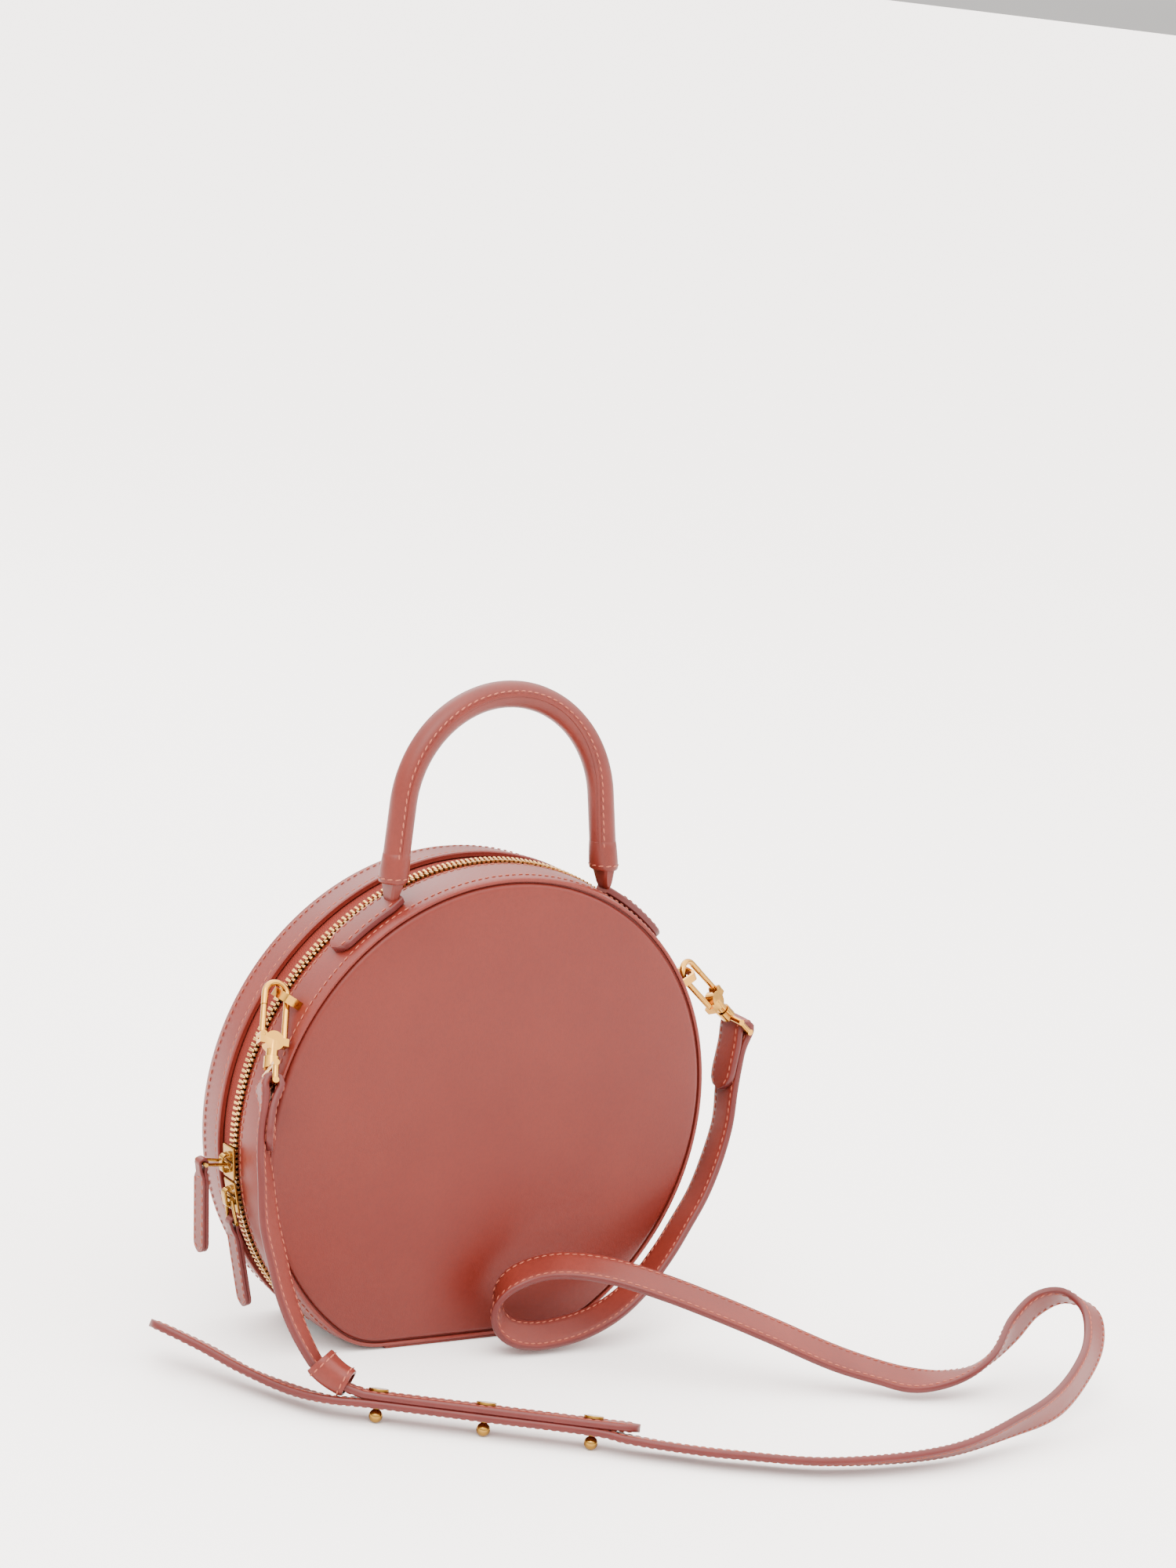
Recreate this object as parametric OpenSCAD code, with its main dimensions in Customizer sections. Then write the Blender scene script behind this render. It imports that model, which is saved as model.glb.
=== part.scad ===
// A round leather bag with a rolled top handle, a two-slider zip that runs nearly all the way round,
// and a detachable strap that hangs from two hoops and lies on the floor in front of the bag.
// X runs across the bag, Y runs from its front to its back, and Z is up from the floor.
// The front shell stands still. The back shell opens as a lid about the rear edge of the base strip.

/* [Body] */
// Diameter of the round front rim
rim_d = 210; // [196:1:224]
// Depth by which the flat foot cuts into the round outline
foot_cut = 13.2; // [10:0.2:16]
// Radius of the two lower corners of the outline
corner_r = 38; // [34:1:42]
// Depth from the front rim to the back rim
body_depth = 53; // [51:0.5:60]
// How far each round panel bulges at its middle
dome_h = 2.5; // [1.5:0.1:4]
// Width of the strip that the bag stands on
base_w = 76; // [64:1:78]
// Thickness of the strip that the bag stands on
base_t = 1.2; // [1:0.1:1.6]

/* [Layers] */
// Thickness of the gusset leather
leather_t = 1.8; // [1.5:0.1:2]
// Thickness of a panel at its edge
panel_t = 1.9; // [1.4:0.1:2]
// Thickness of the stiffening board behind a panel
board_t = 2.6; // [1.5:0.1:2.7]
// Thickness of the suede lining
lining_t = 0.8; // [0.5:0.1:1]
// Gap between layers that lie against each other
layer_gap = 0.1; // [0.05:0.01:0.15]
// Gap between pieces that move against each other
run_gap = 0.3; // [0.2:0.05:0.35]
// Width of the front gusset, from the front rim to the zip
gusset_w = 19.5; // [19:0.1:19.9]
// Width of the back band, from its raised lip to the back rim
band_w = 17.7; // [14:0.1:20]
// How far the front gusset swells past the front rim
front_swell = 1; // [0.8:0.1:1.2]
// How far the back band swells past the front rim
back_swell = 0.7; // [0.5:0.1:0.8]

/* [Zip] */
// Distance from the front rim to the middle of the zip
zip_y = 22.8; // [22.6:0.1:23]
// Width of one row of teeth
row_w = 2.1; // [1.8:0.1:2.2]
// Gap between the two rows, where the slider's post runs
row_gap = 1.2; // [1.1:0.05:1.4]
// Height of the teeth above the front gusset
tooth_rise = 1.4; // [1:0.1:1.6]
// Thickness of the woven tape
tape_t = 0.8; // [0.5:0.1:0.9]
// Length of a slider along the zip
slider_l = 13.5; // [12:0.5:14]
// Width of a slider across the zip
slider_w = 8.4; // [7:0.1:8.4]
// Angle of the upper slider round the bag, from the right-hand side
upper_angle = 188; // [186:0.5:188]
// Angle of the lower slider round the bag, from the right-hand side
lower_angle = 195.7; // [195.7:0.1:198]
// Length of a leather pull tab
tab_l = 38; // [30:1:42]
// Width of a leather pull tab
tab_w = 8.4; // [7:0.1:8.4]

/* [Handle] */
// Length of each straight leg of the handle, from its neck's foot to its round top
leg_l = 38.36; // [34:0.5:44]
// Radius of the handle's round top, to the middle of the roll
arc_r = 47.5; // [45:0.5:48]
// Angle by which the handle's legs spread
splay = 6; // [5:0.5:8]
// Angle by which the handle leans back at rest
lean = 3; // [1:0.5:3.5]
// Radius of the leather roll
roll_r = 5.5; // [4.5:0.1:5.5]
// Distance from the front rim to the middle of the handle
handle_y = 11.2; // [10:0.1:11.2]
// Length of the handle's cuffs
cuff_l = 12; // [9:0.5:14]
// Arc length of the tabs that hold the handle on the gusset
holder_l = 31; // [24:1:36]

/* [Strap] */
// Width of the strap
strap_w = 14; // [12:0.5:15]
// Thickness of the strap
strap_t = 2.8; // [2:0.1:2.9]
// Angle of each strap hoop above the horizontal
hoop_angle = 30; // [28:0.5:31]
// Clear height of a hoop above the gusset
hoop_h = 9.5; // [9:0.1:10]
// Width of a hoop across the gusset
hoop_w = 10.5; // [10:0.1:11]
// Length of a hook's oval loop, from its tip to the middle of the hub
hook_l = 26.05; // [25:0.5:27]
// Outer width of a hook's oval loop
hook_w = 12; // [11:0.5:13]

/* [Hidden] */
$fn = 96;
rod_fn = 32;

// Body: the outline is a circle that blends into two corner arcs and a flat foot
rim_r = rim_d / 2;
centre_h = base_t + rim_r - foot_cut;
front_y = -body_depth / 2;
back_y = body_depth / 2;
seat_z = base_t;
corner_z = seat_z + corner_r;
lid_z = base_t + run_gap;
corner_x = sqrt(pow(rim_r - corner_r, 2) - pow(centre_h - corner_z, 2));
low_angle = -atan2(centre_h - corner_z, corner_x);
reach = 2 * rim_r;
overrun = 1;
base_corner = 3;
base_inset = 0.5;
rim_w = 3;
panel_proud = 0.3;
dome_steps = 8;
panel_inset = leather_t + 2 * layer_gap;
gusset_r = rim_r + front_swell;
gusset_in = leather_t - front_swell;
band_in = leather_t - back_swell;
board_y = panel_t + layer_gap;
cup_y = board_y + board_t + layer_gap;

// Zip: two plain rows round the circle, with a gap between them for the slider's post
tooth_r = gusset_r + tooth_rise;
row_front_y = front_y + zip_y - row_gap / 2 - row_w;
row_back_y = front_y + zip_y + row_gap / 2;
tape_lap = 7.5;
front_tape_y = front_y + gusset_w - tape_lap;
front_tape_r = rim_r - gusset_in - layer_gap - tape_t;
back_tape_r = rim_r - band_in - layer_gap - tape_t;
row_in_r = min(front_tape_r, back_tape_r);
lip_y = back_y - band_w;
lip_w = 2.2;
lip_rise = 1.1;
tape_tuck = 6.7;
end_turn = 3;
stop_turn = 1.2;
zip_low = low_angle + end_turn;
plate_t = 1.2;
plate_gap = 0.5;
inner_plate_t = 1.1;
inner_plate_w = 5.2;
post_w = 0.8;
post_l = 5;
bridge_l = 8;
bridge_w = 3;
bridge_t = 1.2;
bridge_h = 3.5;
wire_r = 0.8;
link_l = 11;
link_edge = 0.1;
leg_r = 0.7;
upper_link_turn = 13;
upper_tab_turn = 88.5;
tab_t = 2.8;
eye_r = 2.2;
eye_gap = 0.3;
bore_gap = 0.08;
bar_r = tooth_r + plate_gap + plate_t + (bridge_h - bridge_t) / 2;

// Handle: an arc with two straight legs that run down to the necks
neck_x = arc_r * cos(splay) + leg_l * sin(splay);
pivot_r = 2;
neck_foot = 1.8;
neck_t = 5;
holder_t = 3.5;
holder_w = 12.6;
holder_round = 7.2;
holder_back = neck_t / 2 + 2 * run_gap;
holder_r = gusset_r + layer_gap / 2 + holder_t;
holder_top = acos((neck_x + holder_back) / holder_r);
holder_low = holder_top - holder_l / holder_r * 180 / PI;
neck_z = centre_h + sqrt(pow(gusset_r, 2) - pow(neck_x - neck_t / 2, 2)) + pivot_r + run_gap;
arc_z = leg_l * cos(splay) - arc_r * sin(splay);
cuff_wall = 0.65;
cuff_r = roll_r + layer_gap / 2 + cuff_wall;
cuff_end = 6;
cuff_seat = 2;
core_r = roll_r - 1.6;
core_gap = 0.2;
join = 0.4;
step_in = 0.1;

// Hoops, hooks and rings: each hook frame has its origin at the hoop's crown and +Z towards the loop's tip
hoop_t = 1.2;
hoop_strip = 3.5;
hoop_bend = 2.5;
hoop_y = 7.5 + hoop_w / 2;
hoop_pin_r = 0.5;
hoop_head_r = 1.6;
hoop_head_t = 0.9;
hoop_plate_t = 1.2;
hoop_plate_l = 7;
hoop_plate_w = 13;
crown_r = gusset_r + hoop_h - hoop_t / 2;
rod_r = 1.3;
loop_r = hook_w / 2 - rod_r;
hook_gap = 0.8;
tip_z = hoop_strip / 2 + rod_r + hook_gap;
arc_centre = tip_z - loop_r;
hub_r = 4;
hub_t = 4.4;
hub_z = tip_z + rod_r - hook_l;
ear_r = 1.6;
ear_up = 1.9;
gate_t = 1.8;
gate_r = 1.2;
gate_top = -6.3;
gate_foot = 1.7;
stub_gap = 0.3;
gate_pin_r = 0.65;
neck_r = 2.4;
neck_d = 2.2;
swivel_r = 1.5;
swivel_l = 3.4;
head_r = 2.1;
head_t = 0.9;
boss_r = 3.1;
boss_l = 4.8;
ring_w = strap_w + 3;
ring_h = 7.1;
ring_r = 1.3;
leg_in = 0.05;
hook_left_y = 14.5;
hook_right_y = 13.9;
hook_left_turn = [-35, 10.3, -12.9];
hook_right_turn = [-30.3, -41.2, 41.6];
ring_left_turn = [3.4, 34, 73];
ring_right_turn = [-49.5, 0, 90];
ring_drop = 32.2;

// Studs: they stand in a line under the two overlapping strap ends
stud_first = [-82.8, -94.1];
stud_last = [-13.8, -142.1];
stud_count = 3;
stud_ball_r = 2.75;
stud_post_r = 1.2;
stud_head_r = 4;
stud_head_t = 1.2;
stud_head_h = 9.4;
stud_lean = 17;
stud_way = 55;

// Keeper: a leather loop that follows the short strap
keeper_wall = 1.5;
keeper_gap = 0.35;

// Strap routes: each row is a point on the middle of the strap, then the direction of its width
short_flat = [0.55, 0.785, -0.285];
short_bar = [0.24, 0.79, -0.56];
short_route = [
    [[-112.8, -43, 95.8], [0.57, 0.8, -0.15]],
    [[-111.7, -39.8, 104], [0.5, 0.78, -0.3]],
    [[-110, -36.4, 111.3], [0.4, 0.78, -0.4]],
    [[-106.8, -33.6, 118.4], short_bar],
    [[-107.2, -32.2, 120.3], short_bar],
    [[-109, -31, 121.2], short_bar],
    [[-111.3, -30.7, 120.6], short_bar],
    [[-112.7, -31.6, 118.8], short_bar],
    [[-112.9, -34.9, 111.6], [0.4, 0.78, -0.4]],
    [[-114.2, -37.6, 103.6], [0.5, 0.78, -0.3]],
    [[-114.7, -40.9, 95.5], [0.6, 0.78, -0.15]],
    [[-114.8, -45.1, 86.3], [0.68, 0.73, 0]],
    [[-114.4, -51, 70.2], [0.79, 0.62, 0]],
    [[-112.5, -56.5, 57], [0.79, 0.62, 0]],
    [[-110, -61.5, 44], [0.76, 0.65, 0]],
    [[-106.5, -67.5, 32], [0.7, 0.71, 0]],
    [[-101.5, -74.5, 20.5], [0.64, 0.76, -0.1]],
    [[-98.5, -78, 16.8], [0.6, 0.78, -0.16]],
    [[-95, -81.3, 13.9], [0.57, 0.79, -0.22]],
    [[-91.5, -84.8, 12], short_flat],
    [[-88, -87.5, 10.9], short_flat],
    [[-81.5, -92.3, 10.2], short_flat],
    [[-47, -116.3, 10.2], short_flat],
    [[-12.5, -140.3, 10.2], short_flat],
    [[2.5, -150.8, 10.4], short_flat]];
keeper_rows = [16:19];
beside_bag = [0, -1, 0];
turned = [-0.52, -0.74, -0.42];
long_flat = [-0.55, -0.785, 0.285];
long_route = [
    [[120.9, -17.6, 98.8], beside_bag],
    [[123.2, -15.6, 108.4], beside_bag],
    [[125.5, -13.9, 117.8], beside_bag],
    [[126.5, -12.6, 125.8], beside_bag],
    [[128, -12.6, 127.6], beside_bag],
    [[130.3, -12.6, 127.8], beside_bag],
    [[132.1, -12.6, 126.3], beside_bag],
    [[132.3, -12.6, 124], beside_bag],
    [[128.5, -13.9, 116.8], beside_bag],
    [[126.2, -15.6, 107.6], beside_bag],
    [[124.5, -17.3, 99], beside_bag],
    [[122.4, -20.5, 85], [-0.1, -0.99, 0]],
    [[116.8, -24, 70.5], [-0.1, -0.99, 0]],
    [[108.5, -28.5, 57], [-0.15, -0.98, 0]],
    [[98, -33, 45.3], [-0.2, -0.97, -0.05]],
    [[86.3, -38, 34], [-0.28, -0.94, -0.15]],
    [[73, -42, 22.8], [-0.38, -0.88, -0.28]],
    [[57.5, -45, 14.2], [-0.47, -0.8, -0.37]],
    [[42, -45.5, 9], turned],
    [[25, -45.3, 7], turned],
    [[11.5, -45, 9], turned],
    [[5, -43, 14], turned],
    [[3.5, -41.5, 22], turned],
    [[7.8, -42, 30], turned],
    [[16.8, -45.5, 36], turned],
    [[27, -53.5, 40], turned],
    [[41, -66.5, 41], turned],
    [[59.5, -80.5, 37], turned],
    [[78.5, -94, 31], turned],
    [[97.5, -105, 24], turned],
    [[120.5, -117, 15], turned],
    [[139.5, -125.5, 9.5], [-0.43, -0.83, -0.36]],
    [[152.5, -133, 7.5], [-0.32, -0.88, -0.33]],
    [[170.5, -136.5, 8.5], [-0.07, -0.98, 0.17]],
    [[189, -135, 13], [-0.09, -0.7, 0.7]],
    [[208, -127, 22], [-0.42, -0.2, 0.88]],
    [[222, -123.5, 30.5], [-0.49, -0.28, 0.83]],
    [[232, -128.5, 35.5], [-0.68, -0.45, 0.58]],
    [[235.5, -141, 34], [-0.9, -0.15, 0.42]],
    [[229, -154, 28], [-0.69, 0.1, 0.72]],
    [[213.5, -168, 21], [-0.36, 0, 0.93]],
    [[188, -183, 14], [-0.15, -0.1, 0.98]],
    [[160, -191.5, 10.5], [0, -0.48, 0.88]],
    [[117, -198.5, 6.5], [-0.07, -0.8, 0.6]],
    [[68, -192, 5.5], [-0.29, -0.87, 0.41]],
    [[33, -175, 5.5], [-0.47, -0.81, 0.34]],
    [[13, -161.5, 5.5], [-0.52, -0.78, 0.33]],
    [[-2, -150.5, 6.3], [-0.55, -0.78, 0.3]],
    [[-13, -141, 7.3], long_flat],
    [[-47.5, -117, 7.3], long_flat],
    [[-82, -93, 7.3], long_flat],
    [[-97, -82.5, 6.5], [-0.68, -0.64, 0.34]],
    [[-105.5, -69, 6], [-0.82, -0.48, 0.3]],
    [[-116, -49, 7.5], [-0.79, -0.46, 0.42]],
    [[-124, -31, 10.5], [-0.78, -0.48, 0.4]],
    [[-134, -17, 14], [-0.66, -0.65, 0.38]],
    [[-140, -11.5, 16], [-0.57, -0.75, 0.35]]];

function unit(v) = v / norm(v);
function ahead(rows, i) = unit(rows[min(i + 1, len(rows) - 1)][0] - rows[max(i - 1, 0)][0]);
function flat_side(rows, i) = unit(rows[i][1] - (rows[i][1] * ahead(rows, i)) * ahead(rows, i));

// The eight corners of a strap's section, with its edges chamfered
function strap_section(half_w, half_t, cut) = [
    [half_w - cut, -half_t], [half_w, cut - half_t], [half_w, half_t - cut], [half_w - cut, half_t],
    [cut - half_w, half_t], [-half_w, half_t - cut], [-half_w, cut - half_t], [cut - half_w, -half_t]];

// A flat strap swept along a route
module strap_sweep(rows, half_w, half_t, cut) {
    section = strap_section(half_w, half_t, cut);
    sides = len(section);
    last = len(rows) - 1;
    points = [for (i = [0:last]) let (side = flat_side(rows, i), up = cross(ahead(rows, i), side))
        for (corner = section) rows[i][0] + corner[0] * side + corner[1] * up];
    walls = [for (i = [0:last - 1], j = [0:sides - 1])
        let (a = i * sides + j, b = i * sides + (j + 1) % sides, c = b + sides, d = a + sides)
        each [[a, d, c], [a, c, b]]];
    start = [for (j = [1:sides - 2]) [0, j, j + 1]];
    end = [for (j = [1:sides - 2]) [last * sides, last * sides + j + 1, last * sides + j]];
    polyhedron(points, concat(start, walls, end), convexity = 10);
}

// A flat sleeve swept along a route, open at both ends
module sleeve_sweep(rows, half_w, half_t, cut, wall) {
    inner = strap_section(half_w, half_t, cut);
    outer = strap_section(half_w + wall, half_t + wall, wall / 2);
    sides = len(inner);
    last = len(rows) - 1;
    hole = len(rows) * sides;
    points = [for (section = [outer, inner], i = [0:last])
        let (side = flat_side(rows, i), up = cross(ahead(rows, i), side))
        each [for (corner = section) rows[i][0] + corner[0] * side + corner[1] * up]];
    skin = [for (i = [0:last - 1], j = [0:sides - 1])
        let (a = i * sides + j, b = i * sides + (j + 1) % sides, c = b + sides, d = a + sides)
        each [[a, d, c], [a, c, b], [a + hole, c + hole, d + hole], [a + hole, b + hole, c + hole]]];
    mouth = [for (j = [0:sides - 1]) let (a = j, b = (j + 1) % sides)
        each [[a, b, b + hole], [a, b + hole, a + hole]]];
    far = [for (j = [0:sides - 1]) let (a = last * sides + j, b = last * sides + (j + 1) % sides)
        each [[a, b + hole, b], [a, a + hole, b + hole]]];
    polyhedron(points, concat(mouth, skin, far), convexity = 10);
}

// The bag's outline, drawn in by an inset
module outline(inset) {
    far_x = reach * cos(low_angle);
    far_z = centre_h + reach * sin(low_angle);
    intersection() {
        translate([0, centre_h]) circle(rim_r - inset);
        polygon([[0, centre_h], [far_x, far_z], [reach, centre_h + reach],
            [-reach, centre_h + reach], [-far_x, far_z]]);
    }
    for (side = [-1, 1])
        translate([side * corner_x, corner_z]) circle(corner_r - inset);
    translate([-corner_x, seat_z + inset]) square([2 * corner_x, centre_h - seat_z - inset]);
}

// A slab of the outline between two depths
module slab(inset, y0, y1) {
    translate([0, y1, 0]) rotate([90, 0, 0]) linear_extrude(y1 - y0) outline(inset);
}

// A wall along the outline, between two insets and two depths, cut flat at its foot
module wall(outer, inner, y0, y1, foot) {
    translate([0, y1, 0]) rotate([90, 0, 0]) linear_extrude(y1 - y0) intersection() {
        translate([-reach, foot]) square(2 * reach);
        difference() {
            outline(outer);
            outline(inner);
        }
    }
}

// A band round the circle, between two radii, two depths and two angles
module round_band(r0, r1, y0, y1, a0, a1) {
    translate([0, 0, centre_h]) rotate([90, 0, 0]) rotate([0, 0, a0]) rotate_extrude(angle = a1 - a0)
        translate([r0, -y1]) square([r1 - r0, y1 - y0]);
}

// A place on the circle: X points outwards there, and Z runs along the circle
module on_round(angle) {
    translate([0, 0, centre_h]) rotate([0, -angle, 0]) children();
}

// A panel in its own frame: the outline lies in XY, and Z points out of the bag
module domed_panel(inset) {
    edge_r = rim_r - inset;
    ball_r = (edge_r * edge_r + dome_h * dome_h) / (2 * dome_h);
    brow = [for (i = [0:dome_steps]) let (x = edge_r * sqrt(i / dome_steps))
        [x, panel_proud + dome_h - ball_r + sqrt(ball_r * ball_r - x * x)]];
    intersection() {
        translate([0, 0, -panel_t]) linear_extrude(panel_t + panel_proud + 2 * dome_h) outline(inset);
        translate([0, centre_h, 0]) rotate_extrude()
            polygon(concat([[0, -panel_t - overrun]], brow,
                [[reach, panel_proud], [reach, -panel_t - overrun]]));
    }
}

// A round rod between two points
module rod(from, to, r) {
    way = to - from;
    translate(from) rotate([0, acos(way[2] / norm(way)), atan2(way[1], way[0])])
        cylinder(h = norm(way), r = r, $fn = rod_fn);
}

// The holes of both hoops' pins through the shell
module hoop_pins(r, inner, outer) {
    for (angle = [hoop_angle, 180 - hoop_angle], side = [-1, 1])
        on_round(angle) translate([inner, front_y + hoop_y + side * (hoop_w - hoop_t) / 2, 0])
            rotate([0, 90, 0]) cylinder(h = outer - inner, r = r, $fn = rod_fn);
}

module front_panel() {
    color([0.69, 0.4, 0.345]) translate([0, front_y, 0]) rotate([90, 0, 0]) domed_panel(panel_inset);
}

module front_board() {
    color([0.55, 0.5, 0.44]) slab(panel_inset, front_y + board_y, front_y + board_y + board_t);
}

module front_gusset() {
    color([0.69, 0.45, 0.42]) difference() {
        union() {
            wall(0, leather_t, front_y, front_y + rim_w + leather_t - layer_gap, base_t);
            wall(-front_swell, gusset_in, front_y + rim_w, front_y + gusset_w, base_t);
        }
        hoop_pins(hoop_pin_r + bore_gap, rim_r - leather_t - overrun, gusset_r + overrun);
    }
}

module front_lining() {
    color([0.62, 0.42, 0.38]) difference() {
        union() {
            slab(gusset_in + layer_gap, front_y + cup_y + layer_gap, front_y + cup_y + layer_gap + lining_t);
            wall(gusset_in + layer_gap, gusset_in + layer_gap + lining_t,
                front_y + cup_y + layer_gap, front_tape_y - layer_gap, base_t);
        }
        hoop_pins(hoop_pin_r + bore_gap, rim_r - leather_t - overrun, gusset_r + overrun);
    }
}

module base_strip() {
    color([0.64, 0.38, 0.34]) translate([0, (base_inset) / 2, 0]) linear_extrude(base_t) union() {
        half_w = base_w / 2;
        half_d = (body_depth - base_inset) / 2;
        square([base_w, 2 * (half_d - base_corner)], center = true);
        square([2 * (half_w - base_corner), 2 * half_d], center = true);
        for (x = [-1, 1], y = [-1, 1])
            translate([x * (half_w - base_corner), y * (half_d - base_corner)]) circle(base_corner);
    }
}

module zip_tape_front() {
    color([0.5, 0.17, 0.13]) difference() {
        round_band(front_tape_r, front_tape_r + tape_t, front_tape_y, row_front_y,
            zip_low, 180 - zip_low);
        hoop_pins(hoop_pin_r + bore_gap, rim_r - leather_t - overrun, gusset_r + overrun);
    }
}

module zip_teeth_front() {
    color([0.83, 0.66, 0.33]) round_band(row_in_r, tooth_r, row_front_y, row_front_y + row_w,
        zip_low, 180 - zip_low);
}

module zip_stops() {
    color([0.83, 0.66, 0.33]) {
        round_band(row_in_r, tooth_r, row_front_y, row_front_y + row_w,
            zip_low - stop_turn, zip_low - layer_gap);
        round_band(row_in_r, tooth_r, row_front_y, row_front_y + row_w,
            180 - zip_low + layer_gap, 180 - zip_low + stop_turn);
    }
}

// The same shape on the right, or mirrored to the left
module flip(side) {
    if (side < 0)
        mirror([1, 0, 0]) children();
    else
        children();
}

// A leather tab sewn on the gusset, with a round lower end
module handle_tab(side) {
    flip(side) {
        round_angle = holder_low + holder_round / holder_r * 180 / PI;
        inner_r = gusset_r + layer_gap / 2;
        y0 = front_y + handle_y - holder_w / 2;
        intersection() {
            round_band(inner_r, holder_r, y0, y0 + holder_w, holder_low - overrun, holder_top);
            on_round(round_angle) {
                translate([inner_r - overrun, front_y + handle_y, 0]) rotate([0, 90, 0])
                    cylinder(h = holder_t + 2 * overrun, r = holder_round);
                translate([inner_r - holder_l / 2, y0 - overrun, 0])
                    cube([holder_l, holder_w + 2 * overrun, 2 * holder_l]);
            }
        }
    }
}

module handle_tab_left() {
    color([0.67, 0.4, 0.35]) handle_tab(-1);
}

module handle_tab_right() {
    color([0.67, 0.4, 0.35]) handle_tab(1);
}

// The face of a hoop, which stands on X = 0 and has two round corners
module hoop_face(w, h, bend) {
    translate([0, -w / 2]) square([h - bend, w]);
    translate([0, bend - w / 2]) square([h, w - 2 * bend]);
    for (side = [-1, 1])
        translate([h - bend, side * (w / 2 - bend)]) circle(bend, $fn = rod_fn);
}

// A metal hoop with two riveted pins through the gusset
module hoop(angle) {
    head_r = front_tape_r - layer_gap - hoop_plate_t;
    on_round(angle) translate([0, front_y + hoop_y, 0]) {
        translate([gusset_r + layer_gap / 2, 0, -hoop_strip / 2]) linear_extrude(hoop_strip) difference() {
            hoop_face(hoop_w, hoop_h - layer_gap / 2, hoop_bend);
            translate([-overrun, 0]) hoop_face(hoop_w - 2 * hoop_t,
                hoop_h - layer_gap / 2 - hoop_t + overrun, hoop_bend - hoop_t);
        }
        for (side = [-1, 1])
            translate([head_r - hoop_head_t - layer_gap, side * (hoop_w - hoop_t) / 2, 0])
                rotate([0, 90, 0]) {
                cylinder(h = gusset_r + hoop_t - head_r + hoop_head_t, r = hoop_pin_r, $fn = rod_fn);
                cylinder(h = hoop_head_t, r = hoop_head_r, $fn = rod_fn);
            }
    }
}

module hoop_left() {
    color([0.86, 0.74, 0.5]) hoop(180 - hoop_angle);
}

module hoop_right() {
    color([0.86, 0.74, 0.5]) hoop(hoop_angle);
}

module hoop_plates() {
    r0 = front_tape_r - layer_gap - hoop_plate_t;
    turn = hoop_plate_l / 2 / r0 * 180 / PI;
    y0 = front_y + hoop_y - hoop_plate_w / 2;
    color([0.75, 0.73, 0.7]) difference() {
        for (angle = [hoop_angle, 180 - hoop_angle])
            round_band(r0, r0 + hoop_plate_t, y0, y0 + hoop_plate_w, angle - turn, angle + turn);
        hoop_pins(hoop_pin_r + bore_gap, r0 - overrun, r0 + hoop_plate_t + overrun);
    }
}

module back_panel() {
    color([0.69, 0.4, 0.345]) translate([0, back_y, 0]) mirror([0, 1, 0]) rotate([90, 0, 0])
        domed_panel(band_in + layer_gap);
}

module back_board() {
    color([0.55, 0.5, 0.44]) slab(band_in + layer_gap, back_y - board_y - board_t, back_y - board_y);
}

module back_band() {
    color([0.69, 0.45, 0.42]) {
        wall(-back_swell, band_in, lip_y, back_y, lid_z);
        round_band(rim_r, rim_r + back_swell + lip_rise, lip_y, lip_y + lip_w, zip_low, 180 - zip_low);
    }
}

module back_lining() {
    inset = band_in + layer_gap;
    color([0.62, 0.42, 0.38]) {
        slab(inset, back_y - cup_y - lining_t, back_y - cup_y);
        wall(inset, inset + lining_t, lip_y + tape_tuck + layer_gap, back_y - cup_y, lid_z);
    }
}

module zip_tape_back() {
    color([0.5, 0.17, 0.13]) round_band(back_tape_r, back_tape_r + tape_t, row_back_y + row_w,
        lip_y + tape_tuck, zip_low, 180 - zip_low);
}

module zip_teeth_back() {
    color([0.83, 0.66, 0.33]) round_band(row_in_r, tooth_r, row_back_y, row_back_y + row_w,
        zip_low, 180 - zip_low);
}

// The handle's own frame: the origin is between the necks, and Z runs up the leaning handle
module handle_frame() {
    translate([0, front_y + handle_y, neck_z]) rotate([-lean, 0, 0]) children();
}

// A leg of the handle: Z runs down the leg from the end of the arc
module handle_leg(side) {
    flip(side) translate([arc_r * cos(splay), 0, arc_z + arc_r * sin(splay)])
        rotate([0, 180 - splay, 0]) children();
}

// A tube along the handle's arc and legs
module handle_tube(outer, inner, end) {
    translate([0, 0, arc_z]) rotate([90, 0, 0]) rotate([0, 0, splay])
        rotate_extrude(angle = 180 - 2 * splay) translate([arc_r, 0]) difference() {
            circle(outer, $fn = rod_fn);
            circle(inner, $fn = rod_fn);
        }
    for (side = [-1, 1])
        handle_leg(side) translate([0, 0, -join]) difference() {
            cylinder(h = leg_l - end + join, r = outer - step_in, $fn = rod_fn);
            translate([0, 0, -overrun]) cylinder(h = leg_l - end + join + 2 * overrun,
                r = inner + step_in, $fn = rod_fn);
        }
}

module handle_roll() {
    color([0.67, 0.41, 0.36]) handle_frame() handle_tube(roll_r, core_r + core_gap, cuff_end + cuff_seat);
}

module handle_core() {
    color([0.85, 0.8, 0.7]) handle_frame() {
        translate([0, 0, arc_z]) rotate([90, 0, 0]) rotate([0, 0, splay])
            rotate_extrude(angle = 180 - 2 * splay) translate([arc_r, 0]) circle(core_r, $fn = rod_fn);
        for (side = [-1, 1])
            handle_leg(side) translate([0, 0, -join])
                cylinder(h = leg_l - cuff_end - cuff_seat + join, r = core_r - step_in, $fn = rod_fn);
    }
}

module handle_cuffs() {
    seat = cuff_l - cuff_seat;
    color([0.66, 0.39, 0.34]) handle_frame() for (side = [-1, 1])
        handle_leg(side) translate([0, 0, leg_l - cuff_end - cuff_l]) difference() {
            cylinder(h = cuff_l, r = cuff_r, $fn = rod_fn);
            translate([0, 0, -overrun]) cylinder(h = seat + overrun + layer_gap,
                r = cuff_r - cuff_wall, $fn = rod_fn);
        }
}

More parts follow.
